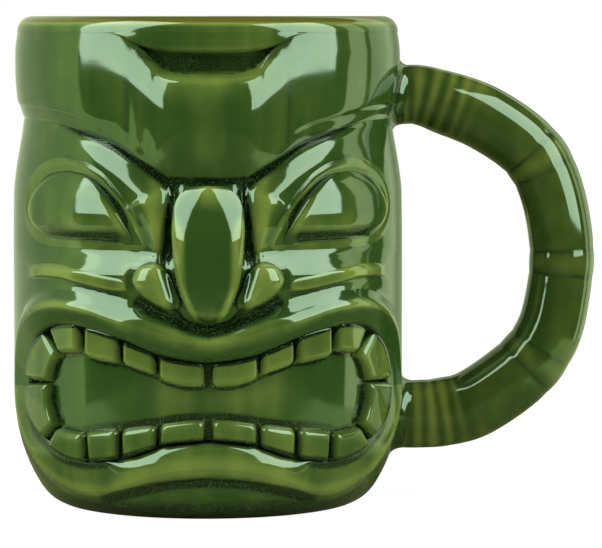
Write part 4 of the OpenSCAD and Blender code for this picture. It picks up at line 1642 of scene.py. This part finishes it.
    def pillow(self, angle: Array, height: Array) -> Array:
        """Share of a tooth's height over its grid.

        Args:
            angle: Angles of the grid.
            height: Heights of the grid.

        Returns:
            Shares, 0 at the edge and 1 over the flat.
        """
        x, y = angle * MM_PER_DEGREE, height
        down = np.hypot(np.diff(x, axis=0, prepend=x[:1]), np.diff(y, axis=0, prepend=y[:1])).cumsum(0)
        along = np.hypot(np.diff(x, axis=1, prepend=x[:, :1]), np.diff(y, axis=1, prepend=y[:, :1])).cumsum(1)
        sides = np.stack([down, down[-1:] - down, along, along[:, -1:] - along])
        rounded = np.clip(sides / np.array([self.gum_round, 1, 1, 1])[:, None, None] / self.tooth_edge, 0, 1)
        lean = 1 - np.clip(np.sqrt(((1 - rounded) ** 2).sum(0)), 0, 1)
        return np.sqrt(1 - (1 - lean) ** 2)

    def tooth(self, name: str, corners: Curve, thin: float) -> Solid:
        """Build a tooth of the left half.

        Args:
            name: The piece's name.
            corners: Ends and middles of its gum and its biting edge.
            thin: How thin its glaze is.

        Returns:
            The tooth.
        """
        angle, height = self.tooth_grid(corners)
        ground = through(height, self.floor) - self.tooth_root
        share = self.pillow(angle, height)
        radius = ground + (through(height, self.tooth_face) - ground) * share
        solid = Solid(name, Slot.TOOTH, thinned=thin)
        numbers = solid.add(on_outside(angle, height, radius))
        solid.quads(numbers, False, False)
        rim = np.concatenate([numbers[0, :-1], numbers[:-1, -1], numbers[-1, :0:-1], numbers[:0:-1, 0]])
        solid.fan(rim, solid.points[0][rim].mean(0) * [self.tooth_back, self.tooth_back, 1], True)
        # Painted shade: darker round the tooth's edge and on its gum side.
        gum = ease(np.linspace(0, 1, self.steps), *self.tooth_gum)[:, None]
        pool = self.tooth_rim_pool * ease(share, *self.tooth_rim) + self.tooth_gum_pool * gum
        solid.darkened = np.append(pool.ravel(), 0)
        return solid

    def tooth_relief(self, angle: Array, height: Array) -> Array:
        """Outer radius of the teeth, for the map.

        Args:
            angle: Angles.
            height: Heights in mm.

        Returns:
            Radii, very low beside the teeth.
        """
        outside = np.full(angle.shape, NOWHERE)
        for corners in self.upper_teeth + self.lower_teeth:
            a, z = self.tooth_grid(corners)
            grid = np.stack([a, z], -1)
            rim = np.concatenate([grid[0, :-1:3], grid[:-1:3, -1], grid[-1, :0:-3], grid[:0:-3, 0]])
            box = (angle > a.min()) & (angle < a.max()) & (height > z.min()) & (height < z.max())
            inside = -Line(rim, closed=True, steps=1).near(angle[box], height[box])[0]
            t = np.clip(inside / self.tooth_edge, 0, 1)
            ground = through(height[box], self.floor)
            face = ground + (through(height[box], self.tooth_face) - ground) * np.sqrt(1 - (1 - t) ** 2)
            outside[box] = np.maximum(outside[box], np.where(inside > 0, face, NOWHERE))
        return outside

    def lip_half(self, name: str, upper: bool, wall: Form) -> Solid:
        """Build one half of the lip.

        Args:
            name: The piece's name.
            upper: Whether it is the upper half.
            wall: Radius of the wall without the mouth's hollow.

        Returns:
            The half.
        """
        crest, gum = self.crest.points, self.gum_line.points
        run = (np.roll(crest, -1, 0) - np.roll(crest, 1, 0)) * [MM_PER_DEGREE, 1]
        run /= np.linalg.norm(run, axis=1, keepdims=True)
        away = np.stack([run[:, 1] / MM_PER_DEGREE, -run[:, 0]], 1)
        quarter = len(crest) // 4
        picked = np.arange(-quarter, quarter + 1) if upper else np.arange(quarter, 3 * quarter + 1)
        crest, gum, away = (x[picked % len(x), None, :] for x in (crest, gum, away))
        out_count, in_count = self.lip_columns
        out = np.linspace(self.outer[0][0], 0, out_count)[:-1]
        within = np.linspace(0, self.inner[-1][0], in_count)
        places = np.concatenate([crest - out[:, None] * away, crest + within[:, None] * (gum - crest)], 1)
        turned = np.abs(places[:, len(out):, 0])
        rise_out = np.tile(through(out, self.outer), (len(places), 1))
        rise = np.concatenate([rise_out, self.inside(within + 0 * turned, turned)], 1)
        ground = wall(-np.abs(places[..., 0]), places[..., 1])
        face = on_places(places, ground + rise)
        back = list(self.lip_root_columns)
        inner = on_places(places[:, back], ground[:, back] + np.array(self.lip_roots))
        solid = Solid(name, Slot.RELIEF, thinned=self.lip_thin[0 if upper else 1])
        return solid.sweep(np.concatenate([face, inner], 1), False)


@dataclass
class Chin:
    """The roll of the chin and the groove over it."""

    groove: Curve = ((-37, 3.9), (-32.3, 4.9), (-23.8, 6.7), (-14.5, 8.3), (-5.5, 9.2), (0, 9.4))
    half_angle: float = 33.0
    middle_z: float = 5.6
    half_height: float = 2.4
    height: float = 0.2
    groove_depth: float = 1.0
    groove_width: float = 1.2
    sag: float = 2.6
    lift: float = 0.4
    hub_drop: float = 0.3
    groove_start: Point = (0.0, 0.35)
    rounding: float = 2.3
    sunk: float = 0.1
    thin: float = 0.1
    mesh: tuple[int, int] = (160, 16)

    def __post_init__(self) -> None:
        """Draw the lines once."""
        self.groove_line = Line(self.groove)
        turns = np.radians(np.arange(0, 360, 10))
        across, up = np.cos(turns), np.sin(turns)
        height = self.middle_z + self.half_height * up - self.sag * across**2 + self.lift
        self.line = Line(np.stack([self.half_angle * across, height], 1), closed=True, steps=4)

    def carve(self, angle: Array, height: Array) -> Array:
        """Change of the wall's radius over the chin."""
        off, along, _ = self.groove_line.near(angle, height)
        return -self.groove_depth * ease(along, *self.groove_start) * bump(off, self.groove_width)

    def rise(self, angle: Array, height: Array) -> Array:
        """Height of the roll over the wall."""
        t = np.clip(-self.line.near(angle, height)[0] / self.rounding, 0, 1)
        return -self.sunk + self.height * np.sin(t * math.pi / 2)

    def roll(self, wall: Form) -> Solid:
        """Build the roll on a wall."""
        middle = (0.0, self.middle_z - self.hub_drop)
        return pad_solid("chin_roll", Slot.RELIEF, self.line, middle, wall, self.rise, *self.mesh, self.thin)


@dataclass
class Handle:
    """The bamboo handle and the collars of slip round its joints."""

    radius: float = 7.5
    swell: Curve = (
        (0, -0.6), (0.03, -0.5), (0.12, 0.12), (0.17, 0.2), (0.3, 0.1), (0.55, 0.05), (0.68, 0.4),
        (0.78, 0.7), (0.86, 0.65), (1, 0.5),
    )
    low: float = 20.0
    high: float = 95.5
    middle: Curve = (
        (45.7, 95.5), (49.5, 95.5), (55.1, 93.9), (65.4, 89.9), (75.9, 82.4), (81.0, 73.0), (83.5, 59.1),
        (82.4, 46.8), (79.8, 37.9), (74.0, 30.3), (63.1, 22.6), (55.1, 20.4), (49.5, 20.0), (45.7, 20.0),
    )
    nodes: tuple[float, ...] = (0.086, 0.303, 0.509, 0.71, 0.92)
    node_height: float = 0.12
    node_width: float = 2.2
    groove_depth: float = 0.09
    groove_offset: float = 3.2
    groove_width: float = 1.1
    end_node_share: float = 0.3
    collar_section: Curve = (
        (0.0, -0.8), (1.9, -0.25), (1.5, 0.0), (1.05, 0.25), (0.62, 0.65), (0.3, 1.2), (0.1, 1.9),
        (-0.05, 2.8), (-0.6, 2.8),
    )
    collar_pool: tuple[float, ...] = (0.3, 0.75, 0.8, 0.7, 0.5, 0.35, 0.2, 0.1, 0.1)
    collar_sides: int = 96
    stripe: float = 3.4
    ends: tuple[Point, Point] = ((0.17, 0.09), (0.84, 0.92))
    pool: float = 0.12
    thin: float = 0.2
    end_thin: float = 0.24
    stripe_thin: float = 0.2
    node_pool: float = 0.42
    node_pool_place: Point = (2.8, 0.8)
    node_thin: float = 0.18
    node_thin_width: float = 1.8
    sides: int = 72
    stations: int = 380

    def __post_init__(self) -> None:
        """Draw the middle line once."""
        line = Line([(x / MM_PER_DEGREE, z) for x, z in self.middle], steps=24)
        self.run = line.at(np.linspace(0, 1, self.stations)) * [MM_PER_DEGREE, 1]
        self.length = float(np.linalg.norm(np.diff(self.run, axis=0), axis=1).sum())

    def size(self, share: Array) -> Array:
        """Radius of the handle.

        Args:
            share: Shares of its length.

        Returns:
            Radii in mm.
        """
        radius = self.radius + through(share, self.swell)
        for node in self.nodes:
            away = np.abs(share - node) * self.length
            groove = self.groove_depth * bump(away - self.groove_offset, self.groove_width)
            ring = self.node_height * bump(away, self.node_width) - groove
            radius = radius + ring * (self.end_node_share if node in (self.nodes[0], self.nodes[-1]) else 1)
        return radius

    def rod(self) -> Solid:
        """Build the handle.

        Returns:
            The handle.
        """
        share = np.linspace(0, 1, self.stations)
        along = np.gradient(self.run, axis=0)
        along /= np.linalg.norm(along, axis=1, keepdims=True)
        turns = np.linspace(0, 2 * math.pi, self.sides, endpoint=False)
        size = self.size(share)[:, None]
        across, depth = size * np.cos(turns), size * np.sin(turns)
        x = self.run[:, :1] + across * along[:, 1:]
        z = self.run[:, 1:] - across * along[:, :1]
        rings = np.stack([x, depth + 0 * x, z], -1) * MM
        solid = Solid("handle", Slot.HANDLE).sweep(rings, False)
        away = np.min([np.abs(share - n) for n in self.nodes[1:-1]], axis=0) * self.length
        ends = np.max([ease(share, *end) for end in self.ends], axis=0)
        stripe = np.cos(np.minimum(share, 1 - share) * self.length * 2 * math.pi / self.stripe)
        offset, width = self.node_pool_place
        beside = bump(away - offset, width)
        pool = self.pool - self.pool * ends * stripe + self.node_pool * beside
        worn = ends * (self.end_thin + self.stripe_thin * stripe)
        thin = self.thin + worn + self.node_thin * bump(away, self.node_thin_width)
        solid.pooled = np.append(np.repeat(pool, self.sides), [0, 0])
        solid.thinned = np.append(np.repeat(thin, self.sides), [0, 0])
        return solid

    def collar(self, name: str, height: float, seat: Callable[[Array], Array]) -> Solid:
        """Build the collar round one joint.

        Args:
            name: The piece's name.
            height: Height of the joint.
            seat: Outer radius of the cup at heights.

        Returns:
            The collar.
        """
        turns = np.linspace(0, 2 * math.pi, self.collar_sides, endpoint=False)
        swell = self.swell[-1 if height < self.high else 0][1]
        rows = []
        for out, up in self.collar_section:
            radius = self.radius + out + swell
            y, z = radius * np.sin(turns), height + radius * np.cos(turns)
            foot = np.sqrt(np.maximum(seat(z) ** 2 - y**2, 1))
            rows.append(np.stack([foot + up, y, z], -1))
        solid = Solid(name, Slot.HANDLE).sweep(np.stack(rows, 1) * MM, True)
        solid.pooled = np.tile(self.collar_pool, len(turns))
        return solid


@dataclass
class Mug:
    """The whole mug: its sub-assemblies, the map of its glaze and its finishes."""

    cup: Cup = field(default_factory=Cup)
    brow: Brow = field(default_factory=Brow)
    eyes: Eyes = field(default_factory=Eyes)
    nose: Nose = field(default_factory=Nose)
    cheeks: Cheeks = field(default_factory=Cheeks)
    mouth: Mouth = field(default_factory=Mouth)
    chin: Chin = field(default_factory=Chin)
    handle: Handle = field(default_factory=Handle)
    mouth_top: float = 60.0
    sharp: float = 55.0
    tooth_share: float = 0.15
    brow_share: float = 0.3
    face_share: float = 0.75
    brow_low: float = 76.0
    cup_thin: float = 0.15
    inside_thin: float = 0.25
    inside_reach: float = 0.5
    rim_low: float = 110.0
    rim_thin: float = 0.3
    rim_worn: float = 1.5
    rim_rise: Point = (111.6, 113.3)
    rim_reach: Point = (38.0, 40.0)
    channel_rise: Point = (96.0, 101.0)
    channel_loss: float = 0.4
    # foot_pool_and_shade: pooled glaze and painted shade, darker towards the foot
    foot_pool_and_shade: float = 0.75
    foot_rise: Point = (8.0, 1.5)
    foot_reach: float = 30.0
    dip_reach: Point = (34.2, 34.6)
    dip_rise: Point = (0.02, 0.1)

    def __post_init__(self) -> None:
        """Make the finishes and the map of the glaze once."""
        glazed = (Slot.CUP, Slot.RELIEF, Slot.EYE, Slot.TOOTH)
        self.finishes = {slot: Glaze(slot).material() for slot in glazed}
        self.finishes[Slot.HANDLE] = Glaze(Slot.HANDLE, green="1f300e", olive="525c24").material()
        self.finishes[Slot.CLAY] = BareClay().material()
        self.relief = Relief(self.cup.rim_z, self.outside, self.pools_and_shade(), self.thins_and_sheen())

    def pools_and_shade(self) -> list[Run]:
        """Draw the lines that the glaze runs to, along which shade is also painted in creases and under
        forms.

        Returns:
            The runs.
        """
        return [
            # Each run darkens the glaze where it pools and paints the shade in its crease or under its form.
            Run(Line(((-24, 107.0), (-19, 105.2), (-14, 104.0), (-7, 103.4), (0, 103.2))), 1.2, 0.6),
            Run(Line(((-23.0, 100.5), (-23.2, 93.0), (-23.6, 86.0))), 1.5, 0.5),
            Run(Line(((-50, 65.4), (-44, 64.9), (-35, 64.7), (-27, 64.6))), 1.5, 1.0),
            # Painted shade, with pooled glaze, in the brow's crease, under the fold and along the band's
            # lower edge.
            Run(Line(self.eyes.crease[3:9]), 1.2, 1.0),
            Run(Line(self.eyes.groove[4:10]), 1.1, 0.55),
            Run(Line([(a, z + 1.2) for a, z in self.eyes.crease[4:8]]), 1.4, 0.5),
            Run(Line(((-10.0, 77.7), (-5.0, 77.4), (0.0, 77.3))), 1.0, 0.9),
            Run(Line(self.nose.groove[:7]), 0.9, 0.8),
            Run(Line(self.nose.groove[6:11]), 0.6, 0.5),
            Run(self.nose.under_line, 1.3, 1.0),
            Run(Line([(a, z - 2.1) for a, z in self.cheeks.spine[4:]]), 0.6, 0.6),
            Run(self.mouth.gum_coarse, 0.7, 0.7),
            Run(Line([(a - 1.2, z - 0.8) for a, z in self.mouth.gum[11:18]]), 1.5, 0.9),
            Run(Line(self.mouth.tooth_pool), 1.2, 0.65),
            Run(self.chin.groove_line, 1.3, 1.2),
        ]

    def thins_and_sheen(self) -> list[Run]:
        """Draw the lines that the glaze runs from; the first paints a reflection on the mouth's floor.

        Returns:
            The runs.
        """
        return [
            # Painted reflection: the middle of the mouth's floor is lighter olive.
            Run(Line(((-14.0, 29.0), (0.0, 29.0))), 5.0, 0.27),
            Run(Line(((-40.0, 67.5), (-29.0, 66.0))), 2.6, 0.3),
            Run(Line(((-15.8, 77.0), (-14.2, 73.0), (-13.8, 68.0), (-14.3, 63.0))), 1.4, 0.4),
            Run(Line(self.mouth.ridge[4:17]), 1.6, 0.25),
        ]

    def skin(self, angle: Array, height: Array) -> Array:
        """Radius of the wall with its swellings but without the mouth's hollow.

        Args:
            angle: Angles that aren't positive.
            height: Heights in mm.

        Returns:
            Radii in mm.
        """
        radius = self.cup.plain(height) + self.cheeks.carve(angle, height) + self.chin.carve(angle, height)
        left, low, top = Softened.FACE
        face = (angle > left + 1) & (height > low + 1) & (height < top - 1)
        for form in (self.eyes, self.nose):
            radius[face] += form.carve(angle[face], height[face])
        return radius

    def wall(self, angle: Array, height: Array) -> Array:
        """Radius of the cup's wall at angles that aren't positive, and heights in mm."""
        return self.hollowed(angle, height, self.skin(angle, height))

    def hollowed(self, angle: Array, height: Array, radius: Array) -> Array:
        """Sink the mouth into a wall.

        Args:
            angle: Angles.
            height: Heights in mm.
            radius: Radius of the wall without the mouth.

        Returns:
            Radii in mm.
        """
        low = height < self.mouth_top
        sunk = radius.copy()
        sunk[low] = self.mouth.hollow(angle[low], height[low], radius[low])
        return sunk

    def outside(self, angle: Array, height: Array) -> Array:
        """Outer radius of the finished mug, for the map.

        Args:
            angle: Angles that aren't positive.
            height: Heights in mm.

        Returns:
            Radii in mm.
        """
        skin = self.skin(angle, height)
        wall = self.hollowed(angle, height, skin)
        forms = [
            wall,
            self.cup.rim(height),
            self.brow.band_relief(angle, height),
            self.brow.lip_relief(angle, height),
            self.eyes.lid_relief(angle, height, wall),
            self.nose.relief(angle, height),
            self.cheeks.relief(angle, height, wall),
            self.mouth.lip_relief(angle, height, skin),
            self.mouth.tooth_relief(angle, height),
        ]
        pads = (
            (self.eyes.ball_line, self.eyes.ball_rise),
            (self.nose.nostril_line, self.nose.nostril_rise),
            (self.chin.line, self.chin.rise),
        )
        forms += [pad_relief(line, rise, angle, height, wall) for line, rise in pads]
        return np.max(forms, axis=0)

    def joint_seat(self, height: Array) -> Array:
        """Outer radius of the cup beside the handle."""
        angle = np.full(height.shape, -90.0)
        return np.maximum(self.wall(angle, height), self.brow.band_relief(angle, height))

    def solids(self) -> list[Solid]:
        """Build every piece.

        Returns:
            The pieces.
        """
        wall = self.wall
        made = [self.cup.body(wall), self.cup.foot(), self.brow.lip(), self.brow.band()]
        made.append(self.nose.bridge(wall))
        for build in (self.nose.wing, self.eyes.eyeball, self.eyes.eyelid, self.cheeks.cheekbone):
            made += self.pair(build(wall))
        made += [self.mouth.lip_half(f"{row}_lip", row == "upper", self.skin) for row in ("upper", "lower")]
        made += [self.chin.roll(wall), self.handle.rod()]
        for row, height in (("upper", self.handle.high), ("lower", self.handle.low)):
            made.append(self.handle.collar(f"{row}_handle_collar", height, self.joint_seat))
        return made + self.teeth()

    @staticmethod
    def pair(left: Solid) -> list[Solid]:
        """Give a left piece and its mirrored right piece."""
        return [left, left.mirrored(left.name.replace(Side.LEFT.value, Side.RIGHT.value))]

    def teeth(self) -> list[Solid]:
        """Build the teeth.

        Returns:
            The teeth, numbered from the viewer's left.
        """
        made = []
        rows = (("upper", self.mouth.upper_teeth), ("lower", self.mouth.lower_teeth))
        for (row, teeth), thin in zip(rows, self.mouth.tooth_thin):
            for index, corners in enumerate(teeth):
                left = self.mouth.tooth(f"{row}_tooth_{index + 1}", corners, thin)
                made += [left, left.mirrored(f"{row}_tooth_{2 * len(teeth) - index}")]
        return made

    def dress(self, solid: Solid) -> bpy.types.Object:
        """Turn a solid into a finished piece.

        Args:
            solid: The solid.

        Returns:
            The piece.
        """
        points = np.concatenate(solid.outward().points)
        mesh = bpy.data.meshes.new(solid.name)
        mesh.from_pydata(points.tolist(), [], solid.faces)
        mesh.validate()
        mesh.polygons.foreach_set("use_smooth", np.ones(len(mesh.polygons), bool))
        mesh.set_sharp_from_angle(angle=math.radians(self.sharp))
        self.glaze(mesh, points / MM, solid)
        mesh.materials.append(self.finishes[solid.slot])
        piece = bpy.data.objects.new(solid.name + "_glazed", mesh)
        bpy.context.scene.collection.objects.link(piece)
        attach(piece, "root")
        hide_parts(solid.name)
        return piece

    def glaze(self, mesh: bpy.types.Mesh, points: Array, solid: Solid) -> None:
        """Write where the glaze is thick and thin, the thick places with their painted shade.

        Args:
            mesh: The piece's mesh.
            points: Its points in mm.
            solid: Its solid.
        """
        height = points[:, 2]
        angle = np.degrees(np.arctan2(points[:, 0], -points[:, 1]))
        radius = np.hypot(points[:, 0], points[:, 1])
        inside = radius < self.cup.cavity_radius + self.inside_reach
        share = self.brow_share if height.min() > self.brow_low else self.face_share
        if solid.slot is Slot.TOOTH:
            share = self.tooth_share
        pool = self.relief.read(self.relief.pool, angle, height) + solid.darkened
        thin = self.relief.read(self.relief.thin, angle, height) * share + solid.thinned
        if solid.pooled is not None:
            pool = solid.pooled
            thin = solid.thinned + np.zeros(len(points))
        if solid.slot is Slot.CUP:
            top = self.rim_thin + self.rim_worn * ease(height, *self.rim_rise) * ease(radius, *self.rim_reach)
            thin = np.where(height > self.rim_low, top, thin + self.cup_thin)
            thin = np.where(inside, self.inside_thin, thin)
            pool = np.where(inside, 0, pool * (1 - self.channel_loss * ease(height, *self.channel_rise)))
        if solid.slot in (Slot.CUP, Slot.RELIEF):
            # Pooled glaze and painted shade: darker towards the foot.
            foot = self.foot_pool_and_shade * ease(height, *self.foot_rise) * (radius > self.foot_reach)
            pool = np.maximum(pool, foot)
        if solid.slot is Slot.CLAY:
            pool = ease(radius, *self.dip_reach) * ease(height, *self.dip_rise)
        for name, values in (("pool", pool), ("thin", thin)):
            mesh.attributes.new(name, "FLOAT", "POINT").data.foreach_set("value", values.astype(np.float32))


@dataclass(frozen=True)
class Softbox:
    """A rectangular lamp that looks at the mug."""

    name: str
    azimuth: float
    elevation: float
    distance: float
    width: float
    height: float
    brightness: float
    aim: Triple = (0.0, 0.0, 0.07)

    def light(self) -> None:
        """Make the lamp."""
        data = bpy.data.lights.new(self.name, "AREA")
        data.shape = "RECTANGLE"
        data.size, data.size_y = self.width, self.height
        data.energy = self.brightness * math.pi * self.width * self.height
        lamp = bpy.data.objects.new(self.name, data)
        turn, lift = math.radians(self.azimuth), math.radians(self.elevation)
        away = Vector((math.sin(turn) * math.cos(lift), -math.cos(turn) * math.cos(lift), math.sin(lift)))
        lamp.location = Vector(self.aim) + away * self.distance
        lamp.rotation_mode = "QUATERNION"
        lamp.rotation_quaternion = (-away).to_track_quat("-Z", "Y")
        lamp.visible_camera = False
        bpy.context.scene.collection.objects.link(lamp)


@dataclass
class Studio:
    """The camera, lamps, white table and white surroundings."""

    camera_place: Triple = (0.0, -0.820, 0.114)
    yaw: float = 1.5294
    pitch: float = -4.2352
    lens: float = 208.35
    sensor: float = 36.0
    clip: Point = (0.05, 20.0)
    table: tuple[float, float, float, float] = (-0.18, 0.18, -0.72, 0.35)
    table_z: float = -0.00005
    paper: Colour = (0.8, 0.8, 0.8, 1)
    # Seen in the mug's gloss, the table is painted dim paper with a painted pool of light beside the mug.
    paper_dim: Colour = (0.14, 0.15, 0.07, 1)
    paper_lit_beside: Colour = (0.6, 0.68, 0.34, 1)
    paper_glow: float = 1.1
    paper_share: float = 0.85
    paper_aside: Point = (0.09, 0.13)
    paper_front: Point = (-0.12, -0.08)
    fill: float = 0.12
    fill_colour: Colour = (1, 1, 0.9, 1)
    dark: Colour = (0.03, 0.04, 0.02, 1)
    card: tuple[Colour, Colour] = ((1.5, 1.75, 0.8, 1), (0.7, 0.8, 0.5, 1))
    strips: tuple[Colour, Colour] = ((2.6, 2.7, 1.7, 1), (1.3, 1.5, 0.95, 1))
    strips_end: Colour = (0.4, 0.5, 0.3, 1)
    lit_top: float = 0.6
    card_front: float = -0.13
    card_far: float = -0.3
    card_far_top: float = 0.86
    card_fade: Point = (-0.12, 0.5)
    strips_front: float = 0.07
    strips_gap: Point = (0.33, 0.41)
    strips_fade: Point = (0.1, 0.5)
    strips_end_fade: Point = (0.75, 0.9)
    softboxes: tuple[Softbox, ...] = (
        Softbox("left_softbox", -62.0, 37.0, 0.52, 0.345, 0.70, 9.2),
        Softbox("right_softbox", 61.4, 29.6, 0.52, 0.355, 0.545, 9.2),
    )

    def build(self) -> None:
        """Set up the whole studio."""
        self.camera()
        for box in self.softboxes:
            box.light()
        self.floor()
        self.world()

    def camera(self) -> None:
        """Make the camera."""
        data = bpy.data.cameras.new("camera")
        data.lens, data.sensor_width = self.lens, self.sensor
        data.clip_start, data.clip_end = self.clip
        camera = bpy.data.objects.new("camera", data)
        camera.location = self.camera_place
        camera.rotation_euler = (math.radians(90 + self.pitch), 0, math.radians(-self.yaw))
        bpy.context.scene.collection.objects.link(camera)
        bpy.context.scene.camera = camera

    def floor(self) -> None:
        """Make the white table."""
        left, right, front, back = self.table
        z = self.table_z
        corners = [(left, front, z), (right, front, z), (right, back, z), (left, back, z)]
        mesh = bpy.data.meshes.new("table")
        mesh.from_pydata(corners, [], [(0, 1, 2, 3)])
        made = bpy.data.materials.new("table")
        tree = Tree(made)
        x, y, _ = tree.axes(tree.place("Object"))
        # Painted shade and a painted pool of light on the table, for glossy rays alone; to the camera it
        # stays white.
        beside = abs(x).eased(*self.paper_aside) * y.eased(*self.paper_front)
        dim = tree.mixed(beside, self.paper_dim, self.paper_lit_beside)
        shade = tree.mixed(tree.ray("Glossy"), self.paper, dim)
        paper = tree.out("ShaderNodeBsdfDiffuse", {}, {"Color": shade})
        white = tree.out("ShaderNodeEmission", {}, {"Color": WHITE, "Strength": self.paper_glow})
        tree.show(tree.either(tree.ray("Camera") * self.paper_share, paper, white))
        mesh.materials.append(made)
        table = bpy.data.objects.new("table", mesh)
        bpy.context.scene.collection.objects.link(table)

    def world(self) -> None:
        """Make the surroundings: white to look at, and to the gloss dark with a card and strips of light.

        The card stands at the mug's left and the strips at its right, from its sides to behind it.
        """
        world = bpy.data.worlds.new("studio")
        bpy.context.scene.world = world
        tree = Tree(world)
        x, y, z = tree.axes(tree.place("Generated"))
        gap_front, gap_back = self.strips_gap
        low = (z < self.lit_top).most((x < self.card_far) * (z < self.card_far_top))
        left = (x < 0) * (y > self.card_front) * low
        between = 1 - (y > gap_front) * (y < gap_back)
        right = (x > 0) * (y > self.strips_front) * between * (z < self.lit_top)
        card = tree.mixed(y.eased(*self.card_fade), *self.card)
        strips = tree.mixed(y.eased(*self.strips_fade), *self.strips)
        strips = tree.mixed(y.eased(*self.strips_end_fade), strips, self.strips_end)
        lit = tree.mixed(x > 0, card, strips)
        mirrored = tree.either(left + right, tree.backdrop(self.dark), tree.backdrop(lit))
        unseen = tree.either(tree.ray("Glossy"), tree.backdrop(self.fill_colour, self.fill), mirrored)
        seen = tree.ray("Camera").most(tree.ray("Transmission"))
        tree.show(tree.either(seen, unseen, tree.backdrop(WHITE)), "World")


def main() -> None:
    """Build the mug and its studio."""
    logging.basicConfig(level=logging.INFO, format="%(message)s")
    Studio().build()
    mug = Mug()
    for solid in mug.solids():
        piece = mug.dress(solid)
        LOG.info("%s: %d faces", piece.name, len(piece.data.polygons))
    bpy.context.scene.view_settings.view_transform = "Standard"


if __name__ == "__main__":
    main()
